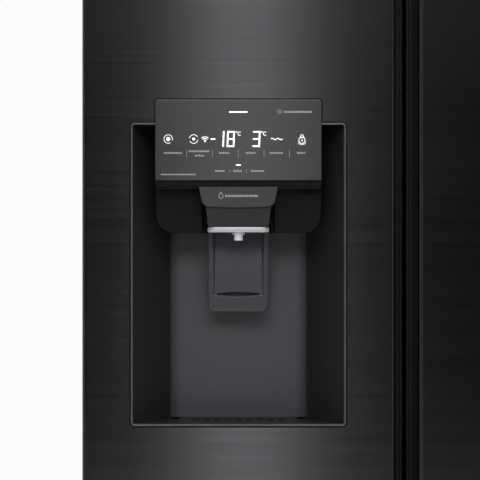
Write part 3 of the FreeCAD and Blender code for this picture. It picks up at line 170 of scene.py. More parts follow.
def painted(name, base, rough=0.4):
    """Powder-coated sheet with a fine leather grain."""
    shader = Shader(name, Roughness=rough)
    cells = shader.add("ShaderNodeTexVoronoi", Vector=shader.stretched((1, 1, 1)))
    cells.inputs["Scale"].default_value = 700.0
    broad = shader.noise(5.0)
    tinted(shader, base, 0.06, broad)
    shader.drive("Roughness", shader.remap(broad, rough * 0.9, rough * 1.1))
    shader.bump(cells.outputs["Distance"], 0.18, 0.0002)
    return shader.material


def clear(name, tint, rough=0.06):
    """Clear moulded plastic or glass, seen through by mixing with a transparent shader."""
    shader = Shader(name, Roughness=rough, IOR=1.5)
    shader.drive("Base Color", tint)
    haze = shader.noise(30.0)
    shader.drive("Roughness", shader.remap(haze, rough * 0.7, rough * 1.5))
    shader.main.inputs["Alpha"].default_value = 0.28
    shader.material.surface_render_method = "BLENDED"
    return shader.material


def galvanised(name, base):
    """Zinc-coated sheet: soft crystal flakes."""
    shader = Shader(name, Metallic=0.9)
    flakes = shader.add("ShaderNodeTexVoronoi", Vector=shader.stretched((1, 1, 1)))
    flakes.inputs["Scale"].default_value = 60.0
    tinted(shader, base, 0.10, flakes.outputs["Color"])
    shader.drive("Roughness", shader.remap(flakes.outputs["Distance"], 0.34, 0.5))
    return shader.material


def foam(name, base):
    shader = Shader(name, Roughness=0.9)
    fine = shader.noise(260.0, detail=5.0)
    tinted(shader, base, 0.12, fine)
    shader.bump(fine, 0.6, 0.0006)
    return shader.material


def glowing(name, colour, strength):
    """Lit marks behind the dark panel, a little uneven as printed marks are. The chute tab's printed
    marks and the lamp covers, whose lamps are off, take this glow too: a painted glow.
    """
    shader = Shader(name, Roughness=0.5)
    shader.drive("Base Color", colour)
    shader.drive("Emission Color", colour)
    uneven = shader.noise(400.0)
    shader.drive("Emission Strength", shader.remap(uneven, strength * 0.85, strength * 1.1))
    return shader.material


def fins(name, base):
    shader = Shader(name, Metallic=1.0, Roughness=0.35)
    lines = shader.noise(1.0, stretch=(600, 30, 30))
    tinted(shader, base, 0.15, lines)
    return shader.material


def rubber(name, base):
    shader = Shader(name, Roughness=0.6)
    fine = shader.noise(500.0, detail=4.0)
    tinted(shader, base, 0.10, fine)
    shader.bump(fine, 0.15, 0.0002)
    return shader.material


MATERIALS = {
    "black_steel": brushed_steel("black_steel", rgba(0.100, 0.100, 0.103), 0.16),
    "case_paint": painted("case_paint", rgba(0.042, 0.042, 0.045), 0.42),
    "zinc_steel": brushed_steel("zinc_steel", rgba(0.55, 0.56, 0.58), 0.38),
    "dark_plastic": moulded("dark_plastic", rgba(0.0045, 0.0045, 0.005), 0.60, gloss=0.10),
    "trim_plastic": moulded("trim_plastic", rgba(0.075, 0.075, 0.078), 0.30, bump=0.03),
    # The recess walls are much darker than the back panel: partly a two-tone finish, partly painted
    # shade for the shade the walls fall in.
    "well_plastic": moulded("well_plastic", rgba(0.016, 0.016, 0.0175), 0.50, gloss=0.25),
    "display_face": moulded("display_face", rgba(0.100, 0.100, 0.102), 0.20, bump=0.02, metal=0.88),
    "grey_plastic": moulded("grey_plastic", rgba(0.045, 0.045, 0.047), 0.42, bump=0.06),
    "silver_plastic": moulded("silver_plastic", rgba(0.74, 0.74, 0.77), 0.35, bump=0.02, metal=0.15),
    "white_liner": moulded("white_liner", rgba(0.80, 0.81, 0.82), 0.30, bump=0.03, coat=0.2),
    "foam": foam("foam", rgba(0.72, 0.65, 0.42)),
    "seal_rubber": rubber("seal_rubber", rgba(0.10, 0.10, 0.105)),
    "clear_plastic": clear("clear_plastic", rgba(0.85, 0.92, 0.95)),
    "shelf_pane": clear("shelf_pane", rgba(0.78, 0.90, 0.88), 0.03),
    "frost_plastic": moulded("frost_plastic", rgba(0.72, 0.74, 0.76), 0.38, bump=0.05),
    "wire_white": moulded("wire_white", rgba(0.84, 0.85, 0.86), 0.36, bump=0.05),
    "bare_aluminium": fins("bare_aluminium", rgba(0.70, 0.71, 0.72)),
    "compressor_black": painted("compressor_black", rgba(0.02, 0.02, 0.02), 0.25),
    "black_rubber": rubber("black_rubber", rgba(0.012, 0.012, 0.012)),
    "galvanised": galvanised("galvanised", rgba(0.42, 0.43, 0.44)),
    "back_panel": moulded("back_panel", rgba(0.048, 0.048, 0.053), 0.42, bump=0.05),
    "tab_plastic": moulded("tab_plastic", rgba(0.038, 0.038, 0.039), 0.40, bump=0.04, gloss=0.36),
    "neck_plastic": moulded("neck_plastic", rgba(0.016, 0.016, 0.0165), 0.45, bump=0.05, gloss=0.28),
    "lever_plastic": moulded("lever_plastic", rgba(0.037, 0.037, 0.043), 0.38, bump=0.04, gloss=0.42),
    "rib_and_edge_highlight_plastic": moulded("rib_and_edge_highlight_plastic", rgba(0.018, 0.018, 0.019), 0.35, bump=0.04, gloss=0.4),
    "ring_plastic": moulded("ring_plastic", rgba(0.46, 0.46, 0.49), 0.35, bump=0.02, metal=0.15),
    "satin_trim": brushed_steel("satin_trim", rgba(0.60, 0.61, 0.63), 0.30),
    "lit_marks": glowing("lit_marks", rgba(0.80, 0.84, 0.88), 0.75),
    "dim_marks": glowing("dim_marks", rgba(0.19, 0.195, 0.205), 0.85),
    # The lamp covers glow faintly though their lamps are off: a painted glow.
    "lamp": glowing("lamp", rgba(0.80, 0.82, 0.84), 0.10),
}

# A node whose finish differs from the rest of its slot.
OWN_FINISH = {"ice_chute": "neck_plastic", "drip_grille": "well_plastic"}


def paint_nodes():
    """Every CAD node takes the material of its slot in the record."""
    for entry in frame["record"]["subparts"]:
        mesh = nodes[entry["node"]].data
        mesh.materials.clear()
        finish = OWN_FINISH.get(entry["node"], entry["material_slot"])
        mesh.materials.append(MATERIALS[finish])


# ---------------------------------------------------------------- building pieces

MM = 0.001


def rounded(x0, z0, x1, z1, radius, steps=6):
    """Closed outline of a rectangle with round corners, from its low left corner round."""
    radii = radius if isinstance(radius, tuple) else (radius,) * 4
    centres = ((x0, z0, 1, 1, 180), (x1, z0, -1, 1, 270), (x1, z1, -1, -1, 0), (x0, z1, 1, -1, 90))
    points = []
    for (x, z, dx, dz, start), r in zip(centres, radii):
        for i in range(steps + 1 if r else 1):
            angle = math.radians(start + 90 * i / steps)
            points.append((x + dx * r + r * math.cos(angle), z + dz * r + r * math.sin(angle)))
    return points


def in_space(plane, a, b, depth):
    return {"xz": (a, depth, b), "xy": (a, b, depth), "yz": (depth, a, b)}[plane]


def as_object(name, bm, smooth=40):
    """A mesh object with outward faces, smooth but for the edges sharper than smooth degrees."""
    bmesh.ops.recalc_face_normals(bm, faces=bm.faces)
    mesh = bpy.data.meshes.new(name)
    bm.to_mesh(mesh)
    bm.free()
    mesh.polygons.foreach_set("use_smooth", [True] * len(mesh.polygons))
    mesh.set_sharp_from_angle(angle=math.radians(smooth))
    obj = bpy.data.objects.new(name, mesh)
    bpy.context.scene.collection.objects.link(obj)
    return obj


def soften(obj, width, segments=2):
    """Rounds the edges that are sharper than 35 degrees."""
    bevel = obj.modifiers.new("soft_edges", "BEVEL")
    bevel.width = width
    bevel.segments = segments
    bevel.limit_method = "ANGLE"
    bevel.angle_limit = math.radians(35)
    bevel.use_clamp_overlap = False
    bevel.harden_normals = True
    return obj


def dress(obj, slot, body, *replaced, material=None):
    """Gives a piece its material and the body it rides on, and hides the nodes it stands for."""
    obj.data.materials.append(material or MATERIALS[slot])
    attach(obj, body)
    if replaced:
        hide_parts(*replaced)
    return obj


def add_prism(bm, outline, near, far, plane="xz"):
    """A closed prism of an outline between two depths."""
    front = [bm.verts.new(in_space(plane, a, b, near)) for a, b in outline]
    back = [bm.verts.new(in_space(plane, a, b, far)) for a, b in outline]
    bm.faces.new(front)
    bm.faces.new(list(reversed(back)))
    for i in range(len(outline)):
        j = (i + 1) % len(outline)
        bm.faces.new((front[j], front[i], back[i], back[j]))


def prism(name, outline, near, far, plane="xz", edge=0.0, segments=2):
    bm = bmesh.new()
    add_prism(bm, outline, near, far, plane)
    obj = as_object(name, bm)
    return soften(obj, edge, segments) if edge else obj


def sweep(name, path, section, closed=True, plane="xz"):
    """A section of (side, depth) points carried along a path in a plane.

    The side is measured to the left of the direction of travel."""
    bm = bmesh.new()
    count = len(path)
    rings = []
    for i, point in enumerate(path):
        before = path[i - 1] if closed or i else None
        after = path[(i + 1) % count] if closed or i < count - 1 else None
        ways = []
        for start, end in ((before, point), (point, after)):
            if start and end:
                ways.append((Vector(end) - Vector(start)).normalized())
        way = sum(ways, Vector((0, 0))).normalized()
        normal = Vector((-way.y, way.x)) / max(0.3, way.dot(ways[0]))
        rings.append([bm.verts.new(in_space(plane, point[0] + normal.x * side,
                                            point[1] + normal.y * side, depth))
                      for side, depth in section])
    turns = count if closed else count - 1
    for i in range(turns):
        first, second = rings[i], rings[(i + 1) % count]
        for j in range(len(section)):
            k = (j + 1) % len(section)
            bm.faces.new((first[j], first[k], second[k], second[j]))
    if not closed:
        bm.faces.new(rings[0])
        bm.faces.new(list(reversed(rings[-1])))
    return as_object(name, bm)


def bead(radius, depth, rise):
    """Half-round section: flat on the face at depth and rising towards -Y."""
    steps = 8
    return [(radius * math.cos(math.pi * i / steps), depth - rise * math.sin(math.pi * i / steps))
            for i in range(steps + 1)]


def turned(name, outline, place):
    """A piece turned about an axis along X through place, from (radius, height) points."""
    steps = 32
    bm = bmesh.new()
    verts = [bm.verts.new((r, 0, h)) for r, h in outline]
    edges = [bm.edges.new((a, b)) for a, b in zip(verts, verts[1:])]
    bmesh.ops.spin(bm, geom=verts + edges, cent=(0, 0, 0), axis=(0, 0, 1),
                   angle=2 * math.pi, steps=steps)
    bmesh.ops.remove_doubles(bm, verts=bm.verts, dist=1e-6)
    turn = Matrix.Rotation(math.radians(90), 4, "Y")
    bmesh.ops.transform(bm, matrix=Matrix.Translation(Vector(place)) @ turn, verts=bm.verts)
    return as_object(name, bm)


def joined(name, pieces):
    """Several pieces made into one object, with their soft edges kept."""
    bm = bmesh.new()
    depsgraph = bpy.context.evaluated_depsgraph_get()
    for piece in pieces:
        mesh = bpy.data.meshes.new_from_object(piece.evaluated_get(depsgraph))
        bm.from_mesh(mesh)
        bpy.data.meshes.remove(mesh)
        bpy.data.objects.remove(piece)
    return as_object(name, bm)


def soft_copy(node, slot, body, width):
    """Stands for a CAD node with the same shape and softly rounded edges."""
    bm = bmesh.new()
    bm.from_mesh(nodes[node].data)
    bm.transform(nodes[node].matrix_world)
    bmesh.ops.remove_doubles(bm, verts=bm.verts, dist=2e-6)
    bmesh.ops.dissolve_limit(bm, angle_limit=math.radians(0.5), verts=bm.verts, edges=bm.edges)
    obj = soften(as_object(node + "_soft", bm), width)
    return dress(obj, slot, body, node, material=MATERIALS[OWN_FINISH.get(node, slot)])


def islands(node):
    """Lowest and highest corners of each separate solid of a CAD node, from the lowest up."""
    bm = bmesh.new()
    bm.from_mesh(nodes[node].data)
    bm.transform(nodes[node].matrix_world)
    bmesh.ops.remove_doubles(bm, verts=bm.verts, dist=2e-6)
    left = set(bm.verts)
    boxes = []
    while left:
        stack = [left.pop()]
        found = []
        while stack:
            vert = stack.pop()
            found.append(vert.co.copy())
            for edge in vert.link_edges:
                other = edge.other_vert(vert)
                if other in left:
                    left.discard(other)
                    stack.append(other)
        low = Vector([min(co[i] for co in found) for i in range(3)])
        high = Vector([max(co[i] for co in found) for i in range(3)])
        boxes.append((low, high))
    bm.free()
    return sorted(boxes, key=lambda box: (round(box[0].z, 4), box[0].x))


# ---------------------------------------------------------------- display

class Marks:
    """Thin lit marks on the display's face, in millimetres from its lower middle."""

    def __init__(self, depth, thickness):
        self.bm = bmesh.new()
        low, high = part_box("display_panel")
        self.middle = (low.x + high.x) / 2
        self.bottom = low.z
        self.near = low.y + depth
        self.far = self.near + thickness

    def area(self, outline):
        points = [(self.middle + x * MM, self.bottom + z * MM) for x, z in outline]
        add_prism(self.bm, points, self.near, self.far)

    def bar(self, x0, z0, x1, z1, slant=0.0):
        self.area([(x0, z0), (x1, z0), (x1 + slant, z1), (x0 + slant, z1)])

    def line(self, points, width):
        """A stroke through the points, with square ends."""
        left, right = [], []
        for i, (x, z) in enumerate(points):
            start = points[max(0, i - 1)]
            end = points[min(len(points) - 1, i + 1)]
            way = Vector((end[0] - start[0], end[1] - start[1])).normalized()
            left.append((x - way.y * width / 2, z + way.x * width / 2))
            right.append((x + way.y * width / 2, z - way.x * width / 2))
        self.area(left + list(reversed(right)))

    def arc(self, x, z, radius, width, start=0, end=360, steps=20):
        """A ring or part of one. A whole ring is made of two halves."""
        if end - start >= 360:
            self.arc(x, z, radius, width, start, start + 180, steps)
            self.arc(x, z, radius, width, start + 180, start + 360, steps)
            return
        turns = [math.radians(start + (end - start) * i / steps) for i in range(steps + 1)]
        self.line([(x + radius * math.cos(a), z + radius * math.sin(a)) for a in turns], width)

    def disc(self, x, z, radius):
        steps = 24
        self.area([(x + radius * math.cos(2 * math.pi * i / steps),
                    z + radius * math.sin(2 * math.pi * i / steps)) for i in range(steps)])

    def caption(self, x0, x1, z, height=1.9):
        """Greeked caption: plain blocks of uneven widths, no lettering."""
        widths = (1.3, 0.9, 1.1, 1.6, 0.8, 1.2, 1.0)
        x, i = x0, 0
        while x + 0.8 < x1:
            width = min(widths[i % len(widths)], x1 - x)
            tall = height * (1.0 if i % 3 else 1.25)
            self.bar(x, z - height / 2, x + width, z - height / 2 + tall)
            x += width + 0.45
            i += 1

    def digit(self, x, z, width, height, lit):
        """Seven-segment figure. lit names its segments: t top, m middle, b bottom and sides."""
        stroke, gap, slant = 2.1, 0.2, 0.8
        half = height / 2
        for name, level in (("b", 0), ("m", half - stroke / 2), ("t", height - stroke)):
            if name in lit:
                lean = slant * level / height
                self.bar(x + gap + lean, z + level, x + width - gap + lean, z + level + stroke,
                         slant * stroke / height)
        for name, at, level in (("e", 0, 0), ("c", width - stroke, 0), ("f", 0, half),
                                ("r", width - stroke, half)):
            if name in lit:
                lean = slant * level / height
                self.bar(x + at + lean, z + level + gap, x + at + stroke + lean,
                         z + level + half - gap, slant / 2)

    def drop(self, x, z, radius, width):
        """A water drop in outline."""
        self.arc(x, z, radius, width, 150, 390)
        tip = (x, z + 2.1 * radius)
        for angle in (150, 30):
            foot = (x + radius * math.cos(math.radians(angle)),
                    z + radius * math.sin(math.radians(angle)))
            self.line([foot, tip], width)

    def finish(self, name, material):
        return dress(as_object(name, self.bm), "display_face", "left_door", material=material)


def add_display():
    low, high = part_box("display_panel")
    face = rounded(low.x, low.z, high.x, high.z, (0.4 * MM, 0.4 * MM, 3 * MM, 3 * MM))
    set_back = 0.25 * MM
    panel = prism("display_face_plate", face, low.y + set_back, high.y, edge=0.7 * MM, segments=3)
    dress(panel, "display_face", "left_door", "display_panel")
    add_readout()
    add_captions()


# Rows of the display in millimetres above its foot, and columns from its middle.
ICON_ROW, FIGURE_FOOT, FIGURE_HEIGHT, DEGREE_ROW = 53.5, 43.2, 20.6, 62.6
CAPTION_ROW, MODE_ROW, TOP_ROW, NOTE_ROW = 35.4, 12.2, 88.3, 7.7
DIAL_ICON, LOOP_ICON, WAVES_ICON, WAVE_ICON, LOCK_ICON = -90.4, -57.6, -43.1, 42.0, 82.0


def add_readout():
    """Icons and the two temperatures, in the middle row of the display."""
    lit = Marks(0.1 * MM, 0.3 * MM)
    z = ICON_ROW
    lit.arc(DIAL_ICON, z, 5.5, 0.7, -20, 300)
    lit.disc(DIAL_ICON, z, 2.6)
    lit.arc(LOOP_ICON, z, 5.6, 0.7, 30, 170)
    lit.arc(LOOP_ICON, z, 5.6, 0.7, 210, 350)
    lit.disc(LOOP_ICON, z, 1.9)
    for radius in (2.0, 4.2, 6.4):
        lit.arc(WAVES_ICON, z - 3.6, radius, 1.0, 45, 135)
    lit.disc(WAVES_ICON, z - 3.4, 0.9)
    lit.bar(-35.9, z - 0.8, -29.5, z + 0.8)
    for x, width, segments in ((-25.2, 6.6, "cr"), (-15.2, 10.0, "tmbecfr"), (18.0, 9.8, "tmbcr")):
        lit.digit(x, FIGURE_FOOT, width, FIGURE_HEIGHT, segments)
    for x in (-2.4, 30.4):
        lit.arc(x, DEGREE_ROW, 0.9, 0.5)
        lit.arc(x + 4.0, DEGREE_ROW - 2.2, 2.2, 0.8, 50, 310)
    lit.line([(WAVE_ICON + 1.5 * i, z + 1.1 * math.sin(i * 1.3)) for i in range(11)], 1.2)
    lit.arc(LOCK_ICON, z + 3.6, 1.9, 0.8)
    lit.arc(LOCK_ICON, z - 1.6, 4.0, 0.9)
    lit.disc(LOCK_ICON, z - 1.6, 1.0)
    lit.arc(LOCK_ICON, z - 0.6, 6.6, 0.6, 215, 325)
    lit.finish("display_readout", MATERIALS["lit_marks"])


def add_captions():
    """Greeked captions under the icons, dividers, the mode row and the lamp above it."""
    dim = Marks(0.12 * MM, 0.28 * MM)
    for x0, x1 in ((-95.9, -71.4), (-25.0, -10.8), (9.8, 22.0), (40.7, 57.5), (75.5, 87.1)):
        dim.caption(x0, x1, CAPTION_ROW)
    dim.caption(-63.7, -36.6, CAPTION_ROW + 2.2)
    dim.caption(-56.0, -44.0, CAPTION_ROW - 3.4)
    for x in (-66.6, -33.4, 0.1, 33.0, 66.0):
        dim.bar(x - 0.2, CAPTION_ROW - 5.4, x + 0.2, CAPTION_ROW + 4.2)
    for x0, x1 in ((-30.2, -16.6), (16.2, 33.0)):
        dim.caption(x0, x1, MODE_ROW, 2.0)
    for x in (-10.8, 10.4):
        dim.bar(x - 0.2, MODE_ROW - 2, x + 0.2, MODE_ROW + 2.4)
    dim.caption(-6.3, 5.3, MODE_ROW, 2.2)
    dim.caption(-99.8, -54.7, NOTE_ROW, 1.6)
    dim.caption(59.0, 96.0, TOP_ROW, 2.2)
    dim.arc(53.2, TOP_ROW + 0.4, 2.6, 0.5)
    dim.line([(51.6, TOP_ROW + 0.4), (54.8, TOP_ROW + 0.4)], 0.5)
    dim.finish("display_captions", MATERIALS["dim_marks"])
    bright = Marks(0.1 * MM, 0.3 * MM)
    bright.bar(-3.2, 19.0, 3.2, 20.8)
    bright.bar(-12.0, TOP_ROW - 0.9, 12.0, TOP_ROW + 0.9)
    bright.finish("display_mode_lamp", MATERIALS["lit_marks"])


# ---------------------------------------------------------------- dispenser

def add_trim():
    """Slim frame round the recess, open where the display passes, in a dark seal. The dark seals
    round the frame and along the display's edge lie at the face of the skin: partly a seal over the
    gap, partly a painted shadow line.
    """
    low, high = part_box("dispenser_trim")
    screen_low, screen_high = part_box("display_panel")
    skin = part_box("left_door_skin")[0].y
    gap, inset, corner = 0.3 * MM, 0.5 * MM, 5 * MM
    corner_steps = 8
    loop = rounded(low.x + inset, low.z + inset, high.x - inset, high.z - inset, corner,
                   steps=corner_steps)
    right_end = (screen_high.x + gap, high.z - inset)
    left_end = (screen_low.x - gap, high.z - inset)
    last_corner = 3 * (corner_steps + 1)
    path = [left_end] + loop[last_corner:] + loop[:last_corner] + [right_end]
    wall, round_edge, depth = 2.1 * MM, 0.8 * MM, high.y
    turns = [math.radians(90 * i / 4) for i in range(5)]
    section = [(round_edge * (1 - math.cos(a)), low.y + round_edge * (1 - math.sin(a)))
               for a in turns]
    section += [(wall - s, y) for s, y in reversed(section)]
    section = [(0.0, depth)] + section + [(wall, depth)]
    trim = sweep("trim_frame", path, section, closed=False)
    dress(trim, "trim_plastic", "left_door", "dispenser_trim")

    # Dark bands round the trim and the display: a seal in the gap, and also a painted shadow line.
    proud, sunk, trim_shadow_seal, screen_shadow_seal = 0.25 * MM, 0.4 * MM, 2.0 * MM, 1.5 * MM
    seal = [(-trim_shadow_seal, skin - proud), (0.0, skin - proud), (0.0, skin + sunk),
            (-trim_shadow_seal, skin + sunk)]
    dress(sweep("trim_shadow_seal", path, seal, closed=False), "dark_plastic", "left_door")
    edge = rounded(screen_low.x, screen_low.z + 2 * MM, screen_high.x, screen_high.z,
                   (0.0, 0.0, 3 * MM, 3 * MM))
    top = [point for point in edge[1:] + [edge[0]] if point[1] > high.z]
    top = [(top[0][0], high.z)] + top + [(top[-1][0], high.z)]
    back = low.y + 12 * MM
    seal = [(-screen_shadow_seal, skin - proud), (0.0, skin - proud), (0.0, back), (-screen_shadow_seal, back)]
    dress(sweep("display_shadow_seal", top, seal, closed=False), "dark_plastic", "left_door")


def add_back_panel():
    """Lighter grey panel at the back of the recess, whose upright edges roll back. It is lighter than
    the recess walls partly as a two-tone finish and partly as painted shade on the walls.
    """
    low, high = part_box("dispenser_recess")
    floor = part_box("drip_grille")[1].z
    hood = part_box("dispenser_hood")[0].z
    middle = (low.x + high.x) / 2
    back = high.y - 2.6 * MM
    half, roll, proud, steps = 91.5 * MM, 17 * MM, 8.0 * MM, 8
    outline = [(middle - half, back)]
    for side in (-1, 1):
        for i in range(steps + 1)[::-side]:
            angle = math.radians(90 * i / steps)
            outline.append((middle + side * (half - roll * (1 - math.cos(angle))),
                            back - proud * math.sin(angle)))
    outline.append((middle + half, back))
    unique = [point for i, point in enumerate(outline)
              if i == 0 or (Vector(point) - Vector(outline[i - 1])).length > 1e-6]
    panel = prism("recess_back_panel", unique, floor + 0.2 * MM, hood + 22 * MM, plane="xy")
    dress(panel, "well_plastic", "left_door", material=MATERIALS["back_panel"])


def add_tab():
    """Front tab of the chute, with a bowed lower edge and a small drop mark that glows faintly: a
    painted glow.
    """
    low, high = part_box("ice_chute")
    middle = (low.x + high.x) / 2
    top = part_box("display_panel")[0].z - 8.1 * MM
    bottom = top - 25.6 * MM
    half_top, half_foot, splay, corner, bow = 51.2 * MM, 45.8 * MM, 1.4 * MM, 8 * MM, 1.2 * MM
    corner_steps, bow_steps = 6, 12
    left = [(middle - half_top, top), (middle - half_foot - splay, bottom + corner)]
    for i in range(1, corner_steps):
        angle = math.radians(180 + 90 * i / corner_steps)
        left.append((middle - half_foot + corner * (1 + math.cos(angle)),
                     bottom + corner * (1 + math.sin(angle))))
    inner = half_foot - corner
    foot = []
    for i in range(bow_steps + 1):
        x = -inner + 2 * inner * i / bow_steps
        foot.append((middle + x, bottom - bow * (1 - (x / inner) ** 2)))
    right = [(2 * middle - x, z) for x, z in reversed(left)]
    face = low.y - 1.0 * MM
    tab = prism("chute_tab_face", left + foot + right, face, low.y + 1.4 * MM, edge=0.9 * MM,
                segments=3)
    dress(tab, "grey_plastic", "left_door", material=MATERIALS["tab_plastic"])
    # The tab's drop mark and caption glow though nothing lights them: a painted glow.
    marks = Marks(0.0, 0.3 * MM)
    marks.near = face - 0.12 * MM
    marks.far = face + 0.2 * MM
    row = (top - 12.2 * MM - marks.bottom) / MM
    marks.drop(-22.5, row, 2.7, 0.8)
    marks.caption(-17.0, 26.0, row + 0.4, 2.3)
    marks.finish("chute_tab_glowing_mark", MATERIALS["dim_marks"])


def add_ring():
    """Silver ring round the chute's mouth."""
    low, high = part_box("chute_ring")
    edge, slope, wall, corner = 1.0 * MM, 0.3 * MM, 4 * MM, 11 * MM
    path = rounded(low.x + edge, low.y + edge, high.x - edge, high.y - edge, corner, steps=8)
    section = [(-edge, low.z + edge), (slope - edge, low.z + slope), (0.0, low.z),
               (wall, low.z), (wall, high.z), (0.0, high.z), (slope - edge, high.z - slope),
               (-edge, high.z - edge)]
    ring = sweep("chute_mouth_ring", path, section, plane="xy")
    dress(ring, "silver_plastic", "left_door", "chute_ring", material=MATERIALS["ring_plastic"])


def lever_depth(x, z, height, half):
    """How far the lever's face lies behind its front plane. x from the middle, z from the foot."""
    flange, blend = 7.4 * MM, 1.6 * MM
    lip_top, lip_dish, lip_round = 22.0 * MM, 0.4 * MM, 6 * MM
    shallow, deepening = 1.6 * MM, 5.4 * MM
    slot_half, slot_reach, slot_depth, slot_rise = 29 * MM, 3.0 * MM, 5.6 * MM, 1.6 * MM
    edge_width, edge_roll = 2.2 * MM, 1.6 * MM

    inside = min(1.0, max(0.0, (half - flange - abs(x)) / blend))
    inside = inside * inside * (3 - 2 * inside)
    up = (z - lip_top) / (height - lip_top)
    if up < 0:
        dish = lip_dish * min(1.0, max(0.0, z / lip_round))
    else:
        dish = shallow + deepening * up ** 1.4
    reach = slot_reach * max(0.0, 1 - (x / slot_half) ** 2)
    off = abs(z - lip_top - slot_rise)
    slot = slot_depth * (1 - (off / reach) ** 2) if reach > 0.2 * MM and off < reach else 0.0
    edge = max(0.0, 1 - (half - abs(x)) / edge_width)
    foot = max(0.0, 1 - z / edge_width)
    return (dish + slot) * inside + edge_roll * (edge ** 2 + foot ** 2)


def add_lever():
    """Paddle with side flanges, a hollow that deepens upwards and a slot over its lip."""
    low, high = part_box("dispenser_lever")
    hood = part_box("dispenser_hood")[0].z
    middle = (low.x + high.x) / 2
    half, corner, thick = 40.3 * MM, 11 * MM, 10 * MM
    foot, top = low.z, hood + 0.6 * MM
    height = top - foot
    front = (low.y + high.y) / 2 - thick / 2
    columns, rows = 84, 110
    bm = bmesh.new()
    faces = []
    for j in range(rows + 1):
        z = height * (j / rows) ** 1.4
        drop = max(0.0, corner - z)
        wide = half - (corner - math.sqrt(max(0.0, corner ** 2 - drop ** 2)))
        line = []
        for i in range(columns + 1):
            x = wide * (2 * i / columns - 1)
            depth = lever_depth(x * half / wide, z, height, half)
            line.append(bm.verts.new((middle + x, front + depth, foot + z)))
        faces.append(line)
    for a, b in zip(faces, faces[1:]):
        for i in range(columns):
            bm.faces.new((a[i], a[i + 1], b[i + 1], b[i]))
    rim = faces[0] + [line[-1] for line in faces[1:]] + list(reversed(faces[-1][:-1]))
    rim += [line[0] for line in reversed(faces[1:-1])]
    back = [bm.verts.new((v.co.x, front + thick - 1.2 * MM, v.co.z)) for v in rim]
    for i in range(len(rim)):
        j = (i + 1) % len(rim)
        bm.faces.new((rim[i], rim[j], back[j], back[i]))
    bm.faces.new(list(reversed(back)))
    paddle = as_object("lever_paddle", bm, smooth=55)

    neck_half, sunk, radius, pin_radius = half - 8 * MM, 1 * MM, thick / 2, 3 * MM
    neck = prism("lever_neck", rounded(middle - neck_half, top - sunk, middle + neck_half,
                                       high.z - radius, 0.5 * MM),
                 front + sunk, front + thick - sunk, edge=0.4 * MM)
    pieces = [paddle, neck]
    for name, round_by, start, length in (
            ("lever_hub", radius, middle - half + sunk, 2 * (half - sunk)),
            ("lever_pin", pin_radius, low.x, high.x - low.x)):
        outline = [(0, 0), (round_by, 0), (round_by, length), (0, length)]
        pieces.append(turned(name, outline, (start, front + radius, high.z - radius)))
    lever = joined("lever_paddle_piece", pieces)
    dress(lever, "grey_plastic", "lever", "dispenser_lever", material=MATERIALS["lever_plastic"])


def add_hood_highlight_strip():
    """Slim lighter strip along the hood's top edge, under the display: a painted highlight that
    stands for the light caught by that edge.
    """
    low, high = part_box("dispenser_hood")
    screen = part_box("display_panel")[0].z
    middle = (low.x + high.x) / 2
    tab_half, end, top, foot = 53 * MM, 1 * MM, screen - 8.7 * MM, screen - 9.6 * MM
    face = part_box("dispenser_trim")[0].y + 22 * MM
    for name, x0, x1 in (("left", low.x + end, middle - tab_half),
                         ("right", middle + tab_half, high.x - end)):
        outline = rounded(x0, foot, x1, top, 0.3 * MM, steps=2)
        strip = prism(f"hood_highlight_strip_{name}", outline, face - 0.6 * MM, face + 1 * MM)
        # The grey strip is a painted highlight on the hood's top edge.
        dress(strip, "grey_plastic", "left_door")


# ---------------------------------------------------------------- doors

def grip_ribs():
    """Two slim ribs, a little lighter than the pocket, down the inner edge of each pocket handle. The
    first is a ridge in the pocket; the second, at the very edge, stands for the highlight on the
    door's rounded edge: a painted highlight.
    """
    for side, sign, body in (("left", -1, "left_door"), ("right", 1, "right_door")):
        low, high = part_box(f"{side}_door_handle")
        edge = high.x if sign < 0 else low.x
        pocket_depth, sunk, rise, end = 27 * MM, 0.2 * MM, 1.1 * MM, 0.5 * MM
        # Rib 1 is a ridge; rib 2 is a painted highlight for the rounded edge.
        for number, inset, radius in ((1, 5.6 * MM, 0.9 * MM), (2, 1.1 * MM, 0.8 * MM)):
            x = edge + sign * inset
            path = [(x, low.z + end), (x, high.z - end)]
            rib = sweep(f"{side}_grip_rib_{number}", path,
                        bead(radius, low.y + pocket_depth + sunk, rise), closed=False)
            dress(rib, "dark_plastic", body, material=MATERIALS["rib_and_edge_highlight_plastic"])


def soft_gasket(node, body):
    """Magnetic seal with bellows: a bulb on a grooved foot all round the door."""
    low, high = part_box(node)
    width, depth = 11 * MM, high.y - low.y
    half = width / 2
    side = [(half, 0.0), (half, 0.24), (0.62 * half, 0.36), (0.62 * half, 0.46), (0.94 * half, 0.6),
            (half, 0.76), (0.9 * half, 0.92), (0.7 * half, 1.0)]
    section = [(s, low.y + d * depth) for s, d in side]
    section += [(-s, low.y + d * depth) for s, d in reversed(side)]
    path = rounded(low.x + half, low.z + half, high.x - half, high.z - half, 9 * MM, steps=5)
    dress(sweep(node + "_bellows", path, section), "seal_rubber", body, node)


def bin_rims():
    """Rounded rims round the top of each door bin."""
    wall, reach = 3 * MM, 2.7 * MM
    profile = ((-2.2, 3.5), (-2.6, 1.5), (-1.4, 0.1), (1.4, 0.1), (2.6, 1.5), (2.2, 3.5))
    for side, body in (("left", "left_door"), ("right", "right_door")):
        for number, (low, high) in enumerate(islands(f"{side}_door_bins"), 1):
            path = rounded(low.x + wall / 2, low.y + wall / 2, high.x - wall / 2,
                           high.y - wall / 2, 2 * MM, steps=4)
            path = [(min(max(x, low.x + reach), high.x - reach),
                     min(max(y, low.y + reach), high.y - reach)) for x, y in path]
            section = [(out * MM, high.z - down * MM) for out, down in profile]
            rim = sweep(f"{side}_bin_rim_{number}", path, section, plane="xy")
            dress(rim, "frost_plastic", body)


